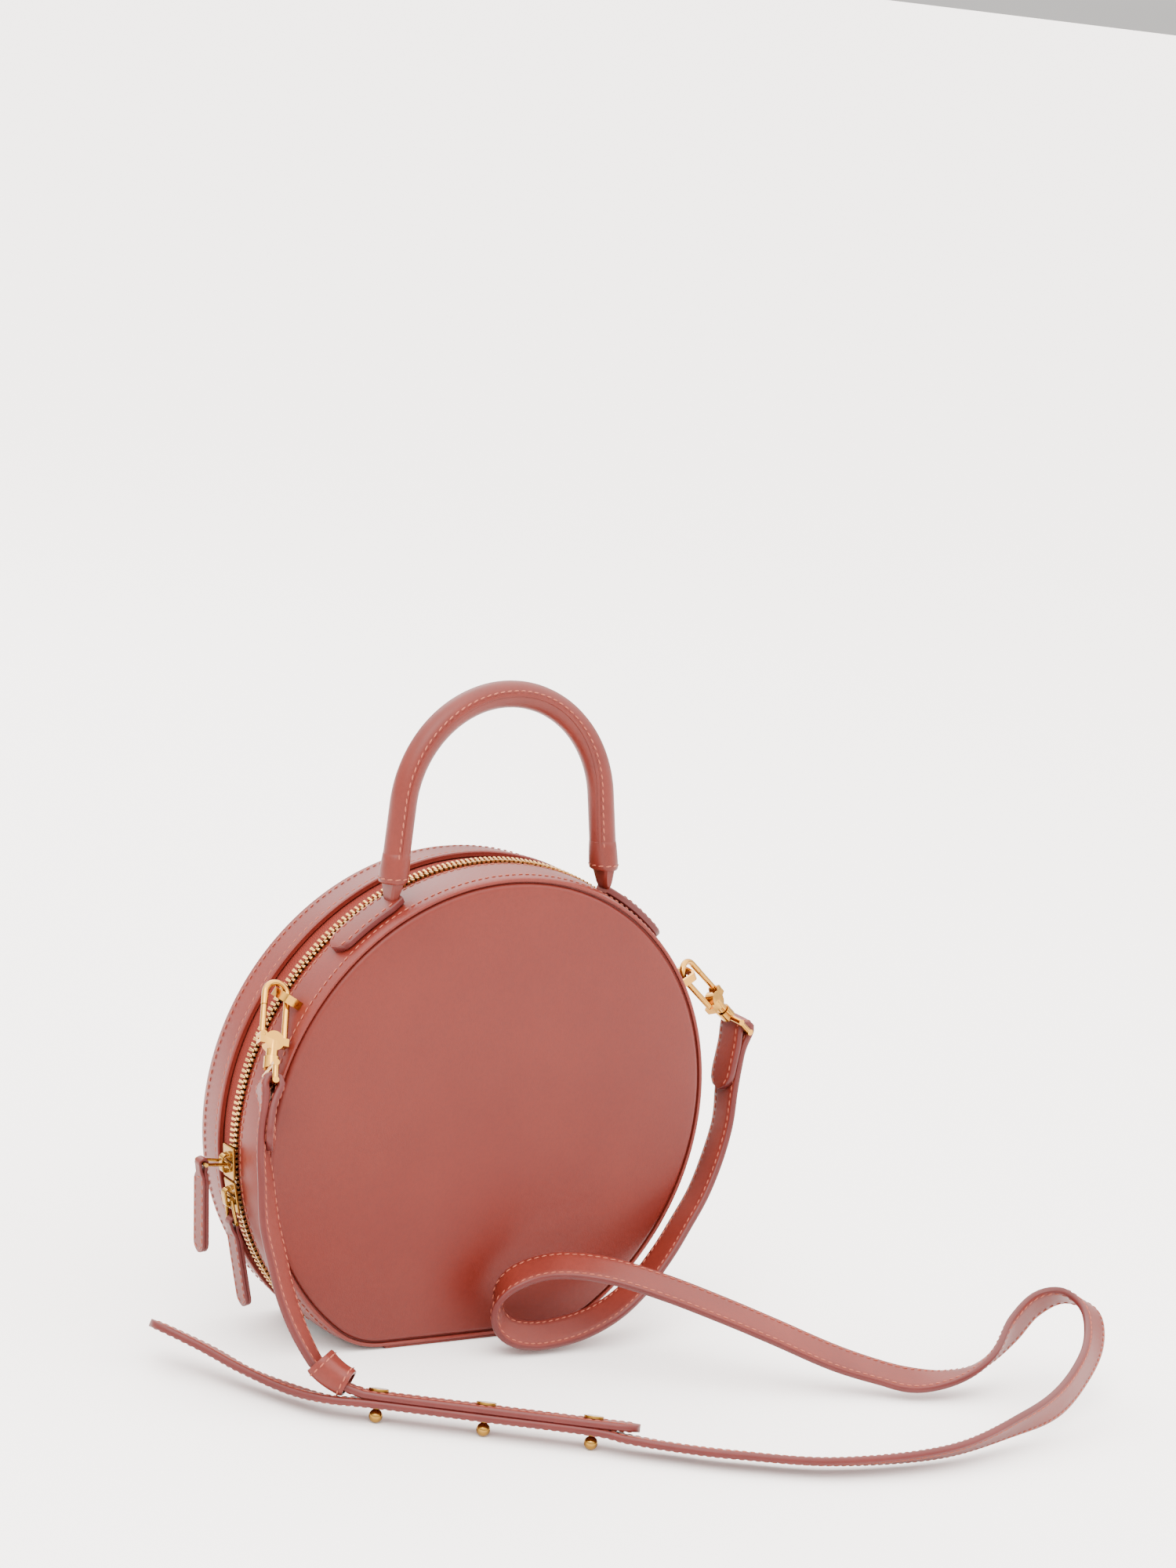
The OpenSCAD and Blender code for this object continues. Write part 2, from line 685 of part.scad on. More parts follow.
module handle_necks() {
    half_d = cuff_r - cuff_wall;
    top = cuff_end - layer_gap;
    color([0.55, 0.3, 0.26]) handle_frame() for (side = [-1, 1]) {
        translate([side * neck_x - neck_t / 2, 0, 0]) rotate([0, 90, 0])
            cylinder(h = neck_t, r = pivot_r, $fn = rod_fn);
        handle_leg(side) translate([-neck_t / 2, 0, leg_l]) rotate([90, 0, 90]) linear_extrude(neck_t)
            polygon([[-neck_foot, 0], [neck_foot, 0], [half_d, -top], [-half_d, -top]]);
    }
}

// A slider on the zip: an outer plate, a narrow inner plate, a post between the rows and a bridge
module slider(angle) {
    outer_r = tooth_r + plate_gap;
    inner_r = row_in_r * cos(slider_l / 2 / row_in_r * 180 / PI) - plate_gap - inner_plate_t;
    mid_y = front_y + zip_y;
    on_round(angle) {
        translate([outer_r, mid_y - slider_w / 2, -slider_l / 2]) cube([plate_t, slider_w, slider_l]);
        translate([inner_r, mid_y - inner_plate_w / 2, -slider_l / 2])
            cube([inner_plate_t, inner_plate_w, slider_l]);
        translate([inner_r, mid_y - post_w / 2, -post_l / 2])
            cube([outer_r - inner_r + plate_t, post_w, post_l]);
        translate([outer_r + plate_t, mid_y + bridge_w / 2, 0]) rotate([90, 0, 0])
            linear_extrude(bridge_w) difference() {
                hoop_face(bridge_l, bridge_h, bridge_t + wire_r);
                translate([-overrun, 0]) hoop_face(bridge_l - 2 * bridge_t,
                    bridge_h - bridge_t + overrun, wire_r);
            }
    }
}

// A wire bar along Y, between two legs
module wire_bar(half) {
    translate([0, half + wire_r, 0]) rotate([90, 0, 0])
        cylinder(h = 2 * (half + wire_r), r = wire_r, $fn = rod_fn);
}

// A wire link: its short bar runs under the slider's bridge, and its long bar carries the tab
module link(angle, turn) {
    near = bridge_w / 2 + run_gap + wire_r;
    far = tab_w / 2 + link_edge - wire_r;
    on_round(angle) translate([bar_r, front_y + zip_y, 0]) rotate([0, turn, 0]) {
        wire_bar(near);
        translate([link_l, 0, 0]) wire_bar(far);
        for (side = [-1, 1])
            rod([0, side * near, 0], [link_l, side * far, 0], leg_r);
    }
}

// A leather tab folded over the link's long bar
module tab(angle, turn, tab_turn) {
    inner_w = tab_w + 2 * link_edge - 4 * wire_r - 2 * run_gap;
    on_round(angle) translate([bar_r, front_y + zip_y, 0]) rotate([0, turn, 0])
        translate([link_l, 0, 0]) rotate([0, tab_turn, 0]) rotate([90, 0, 0]) difference() {
            union() {
                translate([0, 0, -inner_w / 2]) linear_extrude(inner_w) {
                    circle(eye_r, $fn = rod_fn);
                    translate([0, -tab_t / 2]) square([2 * eye_r, tab_t]);
                }
                translate([eye_r + eye_gap, -tab_t / 2, -tab_w / 2])
                    cube([tab_l - eye_r - eye_gap - tab_w / 2, tab_t, tab_w]);
                translate([tab_l - tab_w / 2, tab_t / 2, 0]) rotate([90, 0, 0])
                    cylinder(h = tab_t, r = tab_w / 2, $fn = rod_fn);
            }
            translate([0, 0, -tab_w]) cylinder(h = 2 * tab_w, r = wire_r + bore_gap, $fn = rod_fn);
        }
}

module upper_slider() {
    color([0.82, 0.62, 0.25]) slider(upper_angle);
}

module upper_link() {
    color([0.82, 0.62, 0.25]) link(upper_angle, upper_link_turn);
}

module upper_tab() {
    color([0.66, 0.38, 0.33]) tab(upper_angle, upper_link_turn, -upper_link_turn - upper_tab_turn);
}

module lower_slider() {
    color([0.82, 0.62, 0.25]) slider(lower_angle);
}

module lower_link() {
    color([0.82, 0.62, 0.25]) link(lower_angle, -90);
}

module lower_tab() {
    color([0.66, 0.38, 0.33]) tab(lower_angle, -90, 0);
}

// The middle of a hoop's crown
function crown(side) = [side * crown_r * cos(hoop_angle),
    front_y + (side < 0 ? hook_left_y : hook_right_y), centre_h + crown_r * sin(hoop_angle)];

// A hook's frame: its origin is in the hoop's crown, and its loop lies in XZ
module hook_frame(side) {
    translate(crown(side)) rotate(side < 0 ? hook_left_turn : hook_right_turn) children();
}

// A hook: an open loop, a hub with two ears for the gate, and a swivel pin
module hook(gate_side) {
    ear_z = hub_z + ear_up;
    difference() {
        union() {
            translate([0, 0, arc_centre]) rotate([90, 0, 0]) rotate_extrude(angle = 180)
                translate([loop_r, 0]) circle(rod_r, $fn = rod_fn);
            rod([-gate_side * loop_r, 0, hub_z], [-gate_side * loop_r, 0, arc_centre], rod_r);
            rod([gate_side * loop_r, 0, gate_top + stub_gap], [gate_side * loop_r, 0, arc_centre], rod_r);
            translate([0, hub_t / 2, hub_z]) rotate([90, 0, 0]) cylinder(h = hub_t, r = hub_r, $fn = rod_fn);
            translate([-loop_r - rod_r, -hub_t / 2, hub_z - ear_r])
                cube([2 * (loop_r + rod_r), hub_t, 2 * ear_r]);
            translate([gate_side * loop_r, hub_t / 2, ear_z]) rotate([90, 0, 0])
                cylinder(h = hub_t, r = ear_r, $fn = rod_fn);
            translate([0, 0, hub_z - hub_r - neck_d]) cylinder(h = hub_r + neck_d, r = neck_r, $fn = rod_fn);
            translate([0, 0, hub_z - hub_r - neck_d - swivel_l])
                cylinder(h = swivel_l + neck_d, r = swivel_r, $fn = rod_fn);
            translate([0, 0, hub_z - hub_r - neck_d - swivel_l])
                cylinder(h = head_t, r = head_r, $fn = rod_fn);
        }
        translate([gate_side * (loop_r - ear_r - run_gap) - (gate_side < 0 ? hook_w : 0),
            -gate_t / 2 - layer_gap, ear_z - ear_r - run_gap])
            cube([hook_w, gate_t + 2 * layer_gap, 3 * ear_r]);
        translate([gate_side * loop_r, hub_t, ear_z]) rotate([90, 0, 0])
            cylinder(h = 2 * hub_t, r = gate_pin_r + bore_gap / 2, $fn = rod_fn);
    }
}

// A hook's gate: a rod on a flat foot, which turns on its pin
module gate(gate_side) {
    ear_z = hub_z + ear_up;
    translate([gate_side * loop_r, 0, 0]) difference() {
        union() {
            translate([0, 0, ear_z + gate_foot])
                cylinder(h = gate_top - ear_z - gate_foot, r = gate_r, $fn = rod_fn);
            translate([0, gate_t / 2, ear_z]) rotate([90, 0, 0])
                cylinder(h = gate_t, r = ear_r, $fn = rod_fn);
            translate([-gate_r / 2, -gate_t / 2, ear_z]) cube([gate_r, gate_t, gate_foot]);
        }
        translate([0, hub_t, ear_z]) rotate([90, 0, 0])
            cylinder(h = 2 * hub_t, r = gate_pin_r + bore_gap, $fn = rod_fn);
    }
}

module gate_pin(gate_side) {
    translate([gate_side * loop_r, hub_t / 2, hub_z + ear_up]) rotate([90, 0, 0])
        cylinder(h = hub_t, r = gate_pin_r, $fn = rod_fn);
}

// A strap ring: a boss on the hook's pin, and a flat ring that the strap folds round
module ring(side) {
    boss_top = hub_z - hub_r - neck_d - run_gap;
    half = ring_w / 2;
    hook_frame(side) translate([0, 0, boss_top - boss_l]) difference() {
        cylinder(h = boss_l, r = boss_r, $fn = rod_fn);
        translate([0, 0, boss_l - swivel_l])
            cylinder(h = swivel_l + overrun, r = swivel_r + bore_gap, $fn = rod_fn);
        translate([0, 0, boss_l - swivel_l])
            cylinder(h = head_t + 2 * run_gap, r = head_r + run_gap, $fn = rod_fn);
    }
    ring_place(side) {
        for (z = [0, -ring_h])
            rod([-half - ring_r, 0, z], [half + ring_r, 0, z], ring_r);
        for (x = [-half, half])
            rod([x, 0, -ring_h], [x, 0, 0], ring_r - leg_in);
    }
}

// The frame of a strap ring, with its origin in the middle of its upper bar
module ring_place(side) {
    low = crown(side) + ring_drop * ring_way(side);
    translate(low) rotate(side < 0 ? ring_left_turn : ring_right_turn) children();
}

// The direction in which a hook points away from its hoop
function ring_way(side) = let (turn = side < 0 ? hook_left_turn : hook_right_turn)
    -[cos(turn[2]) * sin(turn[1]) * cos(turn[0]) + sin(turn[2]) * sin(turn[0]),
      sin(turn[2]) * sin(turn[1]) * cos(turn[0]) - cos(turn[2]) * sin(turn[0]),
      cos(turn[1]) * cos(turn[0])];

module hook_left() {
    color([0.86, 0.74, 0.5]) hook_frame(-1) hook(-1);
}

module gate_left() {
    color([0.86, 0.74, 0.5]) hook_frame(-1) gate(-1);
}

module gate_pin_left() {
    color([0.8, 0.68, 0.45]) hook_frame(-1) gate_pin(-1);
}

module ring_left() {
    color([0.86, 0.74, 0.5]) ring(-1);
}

module hook_right() {
    color([0.86, 0.74, 0.5]) hook_frame(1) hook(1);
}

module gate_right() {
    color([0.86, 0.74, 0.5]) hook_frame(1) gate(1);
}

module gate_pin_right() {
    color([0.8, 0.68, 0.45]) hook_frame(1) gate_pin(1);
}

module ring_right() {
    color([0.86, 0.74, 0.5]) ring(1);
}

module strap_short() {
    color([0.66, 0.38, 0.33]) strap_sweep(short_route, strap_w / 2, strap_t / 2, strap_t / 5);
}

module strap_long() {
    color([0.66, 0.38, 0.33]) strap_sweep(long_route, strap_w / 2, strap_t / 2, strap_t / 5);
}

module keeper() {
    rows = [for (i = keeper_rows) short_route[i]];
    hole_w = strap_w / 2 + keeper_gap;
    hole_t = strap_t / 2 + keeper_gap;
    color([0.66, 0.38, 0.33])
        sleeve_sweep(rows, hole_w, hole_t, keeper_gap / 2, keeper_wall);
}

module studs() {
    step = (stud_last - stud_first) / (stud_count - 1);
    color([0.85, 0.67, 0.35]) for (i = [0:stud_count - 1])
        translate([stud_first[0] + i * step[0], stud_first[1] + i * step[1], stud_ball_r])
            rotate([0, stud_lean, stud_way]) {
                sphere(stud_ball_r, $fn = rod_fn);
                cylinder(h = stud_head_h, r = stud_post_r, $fn = rod_fn);
                translate([0, 0, stud_head_h]) cylinder(h = stud_head_t, r = stud_head_r, $fn = rod_fn);
            }
}

front_panel();
front_board();
front_gusset();
front_lining();
base_strip();
zip_tape_front();
zip_teeth_front();
zip_stops();
handle_tab_left();
handle_tab_right();
hoop_left();
hoop_right();
hoop_plates();
back_panel();
back_board();
back_band();
back_lining();
zip_tape_back();
zip_teeth_back();
handle_roll();
handle_core();
handle_cuffs();
handle_necks();
upper_slider();
upper_link();
upper_tab();
lower_slider();
lower_link();
lower_tab();
hook_left();
gate_left();
gate_pin_left();
ring_left();
hook_right();
gate_right();
gate_pin_right();
ring_right();
strap_short();
strap_long();
keeper();
studs();
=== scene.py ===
"""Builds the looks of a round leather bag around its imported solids.

The bag stands on a narrow strip. Its front shell carries the rolled handle, the strap hoops and the front
row of the zip. Its back shell opens as a lid. A long strap hangs from the hoops and lies in front of the bag.
Lengths are given in millimetres and turned to metres where a mesh is made.
"""

from __future__ import annotations

import logging
import math
from dataclasses import dataclass, field
from enum import Enum
from typing import Iterable, Sequence

import bmesh
import bpy
from mathutils import Matrix, Vector

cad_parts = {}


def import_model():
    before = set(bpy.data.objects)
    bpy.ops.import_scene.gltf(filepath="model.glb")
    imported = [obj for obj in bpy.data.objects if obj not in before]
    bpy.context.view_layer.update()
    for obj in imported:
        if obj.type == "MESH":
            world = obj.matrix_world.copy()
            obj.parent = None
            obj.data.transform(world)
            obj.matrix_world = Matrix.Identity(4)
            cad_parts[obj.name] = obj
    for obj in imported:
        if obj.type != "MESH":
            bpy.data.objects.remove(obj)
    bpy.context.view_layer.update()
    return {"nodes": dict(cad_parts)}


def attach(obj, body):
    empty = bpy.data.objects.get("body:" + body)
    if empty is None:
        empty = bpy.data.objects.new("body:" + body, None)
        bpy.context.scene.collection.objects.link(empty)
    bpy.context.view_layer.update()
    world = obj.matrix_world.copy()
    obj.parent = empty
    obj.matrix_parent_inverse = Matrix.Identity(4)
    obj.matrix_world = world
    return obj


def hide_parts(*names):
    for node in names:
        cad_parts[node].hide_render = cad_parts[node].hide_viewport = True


LOG = logging.getLogger("circle_bag")
MM = 0.001
FRONT = -26.5
BACK = 26.5
CENTRE_Z = 93.0
RIM_R = 105.0
CORNER_R = 38.0
STRIP_T = 1.2
CORNER_Z = STRIP_T + CORNER_R
CORNER_X = math.sqrt((RIM_R - CORNER_R) ** 2 - (CENTRE_Z - CORNER_Z) ** 2)
LOW_TURN = -math.degrees(math.atan2(CENTRE_Z - CORNER_Z, CORNER_X))
ZIP_Y = FRONT + 22.8
ZIP_LOW = LOW_TURN + 3.0
TOOTH_R = 107.4
NECK_X = 51.25
NECK_Z = 189.43
HANDLE_Y = FRONT + 11.2


class Body(Enum):
    """The rigid bodies that pieces ride on."""

    SHELL = "shell"
    LID = "lid"
    HANDLE = "handle"
    UPPER_SLIDER = "upper_slider_body"
    UPPER_LINK = "upper_link_body"
    UPPER_TAB = "upper_tab_body"
    LOWER_SLIDER = "lower_slider_body"
    LOWER_LINK = "lower_link_body"
    LOWER_TAB = "lower_tab_body"
    LEFT_HOOK = "left_hook"
    LEFT_GATE = "left_gate"
    RIGHT_HOOK = "right_hook"
    RIGHT_GATE = "right_gate"


class Slot(Enum):
    """The record's material slots."""

    LEATHER = "leather"
    STRAP = "strap_leather"
    EDGE = "edge_paint"
    BOARD = "board"
    SUEDE = "suede"
    TAPE = "tape"
    ZIP = "zip_metal"
    GOLD = "pale_gold"
    PLATE = "plate_metal"
    CORE = "core_cord"


def linear(hex_colour: str) -> tuple[float, float, float, float]:
    """Turns an sRGB hex colour to linear.

    Args:
        hex_colour: six hex digits after a hash sign.

    Returns:
        Linear red, green, blue and an alpha of 1.
    """
    parts = [int(hex_colour[i : i + 2], 16) / 255 for i in (1, 3, 5)]
    made = [c / 12.92 if c <= 0.04045 else ((c + 0.055) / 1.055) ** 2.4 for c in parts]
    return (made[0], made[1], made[2], 1.0)


def add(tree: bpy.types.NodeTree, kind: str, sets: dict | None = None, **props: object) -> bpy.types.Node:
    """Adds a node with its settings and links.

    Args:
        tree: the material's node tree.
        kind: the node's type name.
        sets: input name or index to a value, or to the socket that feeds it.
        props: properties of the node itself.

    Returns:
        The new node.
    """
    node = tree.nodes.new(kind)
    for name, value in props.items():
        setattr(node, name, value)
    for name, value in (sets or {}).items():
        if isinstance(value, bpy.types.NodeSocket):
            tree.links.new(value, node.inputs[name])
        else:
            node.inputs[name].default_value = value
    return node


def new_tree(name: str) -> tuple[bpy.types.Material, bpy.types.NodeTree]:
    """Makes an empty node material.

    Args:
        name: the material's name.

    Returns:
        The material and its node tree.
    """
    material = bpy.data.materials.new(name)
    material.use_nodes = True
    material.node_tree.nodes.clear()
    return material, material.node_tree


def close_tree(tree: bpy.types.NodeTree, shader: bpy.types.Node) -> None:
    """Joins a shader to the material's output."""
    add(tree, "ShaderNodeOutputMaterial", {"Surface": shader.outputs[0]})


@dataclass(frozen=True)
class Calf:
    """Smooth aniline-dyed calf: fine closed grain, a soft sheen and slight cloudiness in the dye."""

    name: str
    deep: str
    light: str
    rough: float = 0.46
    grain_mm: float = 0.55
    relief_mm: float = 0.035
    sheen: float = 0.12
    cloud_mm: float = 38.0
    coat: float = 0.08
    shine: float = 0.3

    def make(self) -> bpy.types.Material:
        """Makes the material."""
        material, tree = new_tree(self.name)
        where = add(tree, "ShaderNodeTexCoord").outputs["Object"]
        cloud = add(tree, "ShaderNodeTexNoise", {"Vector": where, "Scale": 1 / (self.cloud_mm * MM), "Detail": 3.0, "Roughness": 0.55})
        pores = add(tree, "ShaderNodeTexNoise", {"Vector": where, "Scale": 1 / (self.grain_mm * 3 * MM), "Detail": 4.0, "Roughness": 0.6})
        grain = add(tree, "ShaderNodeTexVoronoi", {"Vector": where, "Scale": 1 / (self.grain_mm * MM), "Smoothness": 0.4}, feature="SMOOTH_F1")
        clouds = add(tree, "ShaderNodeMapRange", {"Value": cloud.outputs[0], "From Min": 0.3, "From Max": 0.7})
        tone = add(tree, "ShaderNodeMix", {0: clouds.outputs[0], 6: linear(self.deep), 7: linear(self.light)}, data_type="RGBA")
        pitted = add(tree, "ShaderNodeMapRange", {"Value": pores.outputs[0], "From Min": 0.35, "From Max": 0.6, "To Min": 0.9, "To Max": 1.0})
        shade = add(tree, "ShaderNodeMix", {0: 1.0, 6: tone.outputs[2], 7: pitted.outputs[0]}, data_type="RGBA", blend_type="MULTIPLY")
        worn = add(tree, "ShaderNodeMapRange", {"Value": pores.outputs[0], "To Min": self.rough - 0.05, "To Max": self.rough + 0.07})
        height = add(tree, "ShaderNodeMath", {0: grain.outputs["Distance"], 1: pores.outputs[0]}, operation="ADD")
        bump = add(tree, "ShaderNodeBump", {"Height": height.outputs[0], "Strength": 0.55, "Distance": self.relief_mm * MM})
        shader = add(tree, "ShaderNodeBsdfPrincipled", {"Base Color": shade.outputs[2], "Roughness": worn.outputs[0], "Normal": bump.outputs[0],
                     "Sheen Weight": self.sheen, "Sheen Roughness": 0.4, "Coat Weight": self.coat, "Coat Roughness": 0.35, "IOR": 1.47,
                     "Specular IOR Level": self.shine})
        close_tree(tree, shader)
        return material


@dataclass(frozen=True)
class Suede:
    """Split-hide lining: a short nap that scatters light and has no gloss."""

    name: str
    deep: str
    light: str

    def make(self) -> bpy.types.Material:
        """Makes the material."""
        material, tree = new_tree(self.name)
        where = add(tree, "ShaderNodeTexCoord").outputs["Object"]
        nap = add(tree, "ShaderNodeTexNoise", {"Vector": where, "Scale": 1 / (0.9 * MM), "Detail": 5.0, "Roughness": 0.7})
        brushed = add(tree, "ShaderNodeTexNoise", {"Vector": where, "Scale": 1 / (26 * MM), "Detail": 2.0})
        both = add(tree, "ShaderNodeMath", {0: nap.outputs[0], 1: brushed.outputs[0]}, operation="MULTIPLY")
        spread = add(tree, "ShaderNodeMapRange", {"Value": both.outputs[0], "From Min": 0.12, "From Max": 0.4})
        tone = add(tree, "ShaderNodeMix", {0: spread.outputs[0], 6: linear(self.deep), 7: linear(self.light)}, data_type="RGBA")
        bump = add(tree, "ShaderNodeBump", {"Height": nap.outputs[0], "Strength": 0.7, "Distance": 0.12 * MM})
        shader = add(tree, "ShaderNodeBsdfPrincipled", {"Base Color": tone.outputs[2], "Roughness": 0.95, "Normal": bump.outputs[0],
                     "Sheen Weight": 0.08, "Sheen Roughness": 0.6, "Specular IOR Level": 0.2, "IOR": 1.4})
        close_tree(tree, shader)
        return material


@dataclass(frozen=True)
class Plating:
    """Polished plated brass: a warm mirror with fine rub marks."""

    name: str
    colour: str
    rough: float = 0.16
    mark_mm: float = 1.4

    def make(self) -> bpy.types.Material:
        """Makes the material."""
        material, tree = new_tree(self.name)
        where = add(tree, "ShaderNodeTexCoord").outputs["Object"]
        marks = add(tree, "ShaderNodeTexNoise", {"Vector": where, "Scale": 1 / (self.mark_mm * MM), "Detail": 5.0, "Roughness": 0.65})
        rub = add(tree, "ShaderNodeMapRange", {"Value": marks.outputs[0], "From Min": 0.35, "From Max": 0.7,
                                               "To Min": self.rough * 0.75, "To Max": self.rough * 1.5})
        bump = add(tree, "ShaderNodeBump", {"Height": marks.outputs[0], "Strength": 0.12, "Distance": 0.02 * MM})
        shader = add(tree, "ShaderNodeBsdfPrincipled", {"Base Color": linear(self.colour), "Metallic": 1.0,
                     "Roughness": rub.outputs[0], "Normal": bump.outputs[0]})
        close_tree(tree, shader)
        return material


@dataclass(frozen=True)
class Herringbone:
    """Woven zip tape: polyester twill whose slant turns back every few millimetres."""

    name: str
    deep: str
    light: str
    rib_mm: float = 1.1
    bone_mm: float = 2.4

    def make(self) -> bpy.types.Material:
        """Makes the material. The pattern follows the piece's UV map, which is in metres."""
        material, tree = new_tree(self.name)
        uv = add(tree, "ShaderNodeUVMap", uv_map="lay").outputs[0]
        split = add(tree, "ShaderNodeSeparateXYZ", {0: uv})
        slant = add(tree, "ShaderNodeMath", {0: split.outputs[1], 1: self.bone_mm * MM}, operation="PINGPONG")
        along = add(tree, "ShaderNodeMath", {0: split.outputs[0], 1: slant.outputs[0]}, operation="ADD")
        turns = add(tree, "ShaderNodeMath", {0: along.outputs[0], 1: 2 * math.pi / (self.rib_mm * MM)}, operation="MULTIPLY")
        wave = add(tree, "ShaderNodeMath", {0: turns.outputs[0]}, operation="SINE")
        ribs = add(tree, "ShaderNodeMapRange", {"Value": wave.outputs[0], "From Min": -1.0, "From Max": 1.0})
        tone = add(tree, "ShaderNodeMix", {0: ribs.outputs[0], 6: linear(self.deep), 7: linear(self.light)}, data_type="RGBA")
        bump = add(tree, "ShaderNodeBump", {"Height": ribs.outputs[0], "Strength": 0.8, "Distance": 0.15 * MM})
        shader = add(tree, "ShaderNodeBsdfPrincipled", {"Base Color": tone.outputs[2], "Roughness": 0.8, "Normal": bump.outputs[0],
                     "Specular IOR Level": 0.15, "IOR": 1.5})
        close_tree(tree, shader)
        return material


@dataclass(frozen=True)
class Thread:
    """Waxed linen thread: twisted plies with a dull gloss."""

    name: str
    deep: str
    light: str
    ply_mm: float = 0.35

    def make(self) -> bpy.types.Material:
        """Makes the material."""
        material, tree = new_tree(self.name)
        where = add(tree, "ShaderNodeTexCoord").outputs["Object"]
        plies = add(tree, "ShaderNodeTexWave", {"Vector": where, "Scale": 1 / (self.ply_mm * MM) / 20, "Distortion": 2.0, "Detail": 1.0},
                    bands_direction="DIAGONAL")
        fibre = add(tree, "ShaderNodeTexNoise", {"Vector": where, "Scale": 1 / (3.0 * MM), "Detail": 2.0})
        tone = add(tree, "ShaderNodeMix", {0: fibre.outputs[0], 6: linear(self.deep), 7: linear(self.light)}, data_type="RGBA")
        bump = add(tree, "ShaderNodeBump", {"Height": plies.outputs[1], "Strength": 0.5, "Distance": 0.05 * MM})
        shader = add(tree, "ShaderNodeBsdfPrincipled", {"Base Color": tone.outputs[2], "Roughness": 0.6, "Normal": bump.outputs[0],
                     "Specular IOR Level": 0.25, "IOR": 1.5})
        close_tree(tree, shader)
        return material


@dataclass(frozen=True)
class Matte:
    """Pressed board, cord filler or a paper-white floor: dull, with a faint mottle."""

    name: str
    deep: str
    light: str
    rough: float = 0.85
    mottle_mm: float = 4.0

    def make(self) -> bpy.types.Material:
        """Makes the material."""
        material, tree = new_tree(self.name)
        where = add(tree, "ShaderNodeTexCoord").outputs["Object"]
        mottle = add(tree, "ShaderNodeTexNoise", {"Vector": where, "Scale": 1 / (self.mottle_mm * MM), "Detail": 4.0})
        tone = add(tree, "ShaderNodeMix", {0: mottle.outputs[0], 6: linear(self.deep), 7: linear(self.light)}, data_type="RGBA")
        shader = add(tree, "ShaderNodeBsdfPrincipled", {"Base Color": tone.outputs[2], "Roughness": self.rough, "IOR": 1.45})
        close_tree(tree, shader)
        return material


class Finishes:
    """Every finish of the bag, made once and shared."""

    def __init__(self) -> None:
        """Makes the materials."""
        self.panel = Calf("calf_panel", "#58160D", "#5D1A10", sheen=0.0, coat=0.02).make()
        self.gusset = Calf("calf_gusset", "#5E1B13", "#672218", rough=0.42, sheen=0.0, coat=0.06, shine=0.3).make()
        self.trim = Calf("calf_trim", "#581A11", "#611F15", rough=0.43, sheen=0.0, cloud_mm=20.0, coat=0.04).make()
        self.strap = Calf("calf_strap", "#5B1B12", "#652117", rough=0.46, sheen=0.0, cloud_mm=24.0, coat=0.03).make()
        self.edge = Calf("painted_edge", "#4B1512", "#561B18", rough=0.42, grain_mm=1.6, relief_mm=0.02, sheen=0.0, coat=0.05).make()
        self.groove = Calf("dyed_groove", "#551A13", "#622219", rough=0.6, coat=0.0, sheen=0.0).make()
        self.suede = Suede("suede_lining", "#63342A", "#754438").make()
        self.tape = Herringbone("woven_tape", "#4A120C", "#74281D").make()
        self.brass = Plating("polished_zip_brass", "#9A7434", 0.2).make()
        self.tooth = Plating("pale_zip_teeth", "#C0955A", 0.26).make()
        self.gold = Plating("pale_gold_plate", "#B58338", 0.14).make()
        self.steel = Plating("zinc_backing_plate", "#BDBAB3", 0.35).make()
        self.thread = Thread("waxed_linen_thread", "#84402F", "#965040").make()
        self.board = Matte("pressed_board", "#857A6A", "#968B7A").make()
        self.filler = Matte("cord_filler", "#CDBFA4", "#DCD0B8").make()


def outline(inset: float, foot: float | None = None) -> list[tuple[float, float]]:
    """Points of the bag's outline, drawn in by an inset, from the right-hand end of the circle onwards.

    Args:
        inset: distance inside the front rim.
        foot: height that the outline is cut flat at, if any.

    Returns:
        The closed outline as x and z in millimetres.
    """
    found: list[tuple[float, float]] = []
    arcs = ((0.0, CENTRE_Z, RIM_R, LOW_TURN, 180 - LOW_TURN, 190), (-CORNER_X, CORNER_Z, CORNER_R, 180 - LOW_TURN, 270, 14),
            (CORNER_X, CORNER_Z, CORNER_R, 270, 360 + LOW_TURN, 14))
    for x, z, r, low, high, steps in arcs:
        for i in range(steps):
            turn = math.radians(low + (high - low) * (i if x >= 0 and r == RIM_R else i + 0.5) / steps)
            found.append((x + (r - inset) * math.cos(turn), z + (r - inset) * math.sin(turn)))
        if x < 0:
            found += [(-CORNER_X + 2 * CORNER_X * i / 10, CORNER_Z - CORNER_R + inset) for i in range(11)]
    return found if foot is None else [(x, max(z, foot)) for x, z in found]


def round_point(turn: float, r: float, y: float) -> Vector:
    """A point on the round of the bag, from its angle in degrees, its radius and its depth."""
    a = math.radians(turn)
    return Vector((r * math.cos(a), y, CENTRE_Z + r * math.sin(a)))


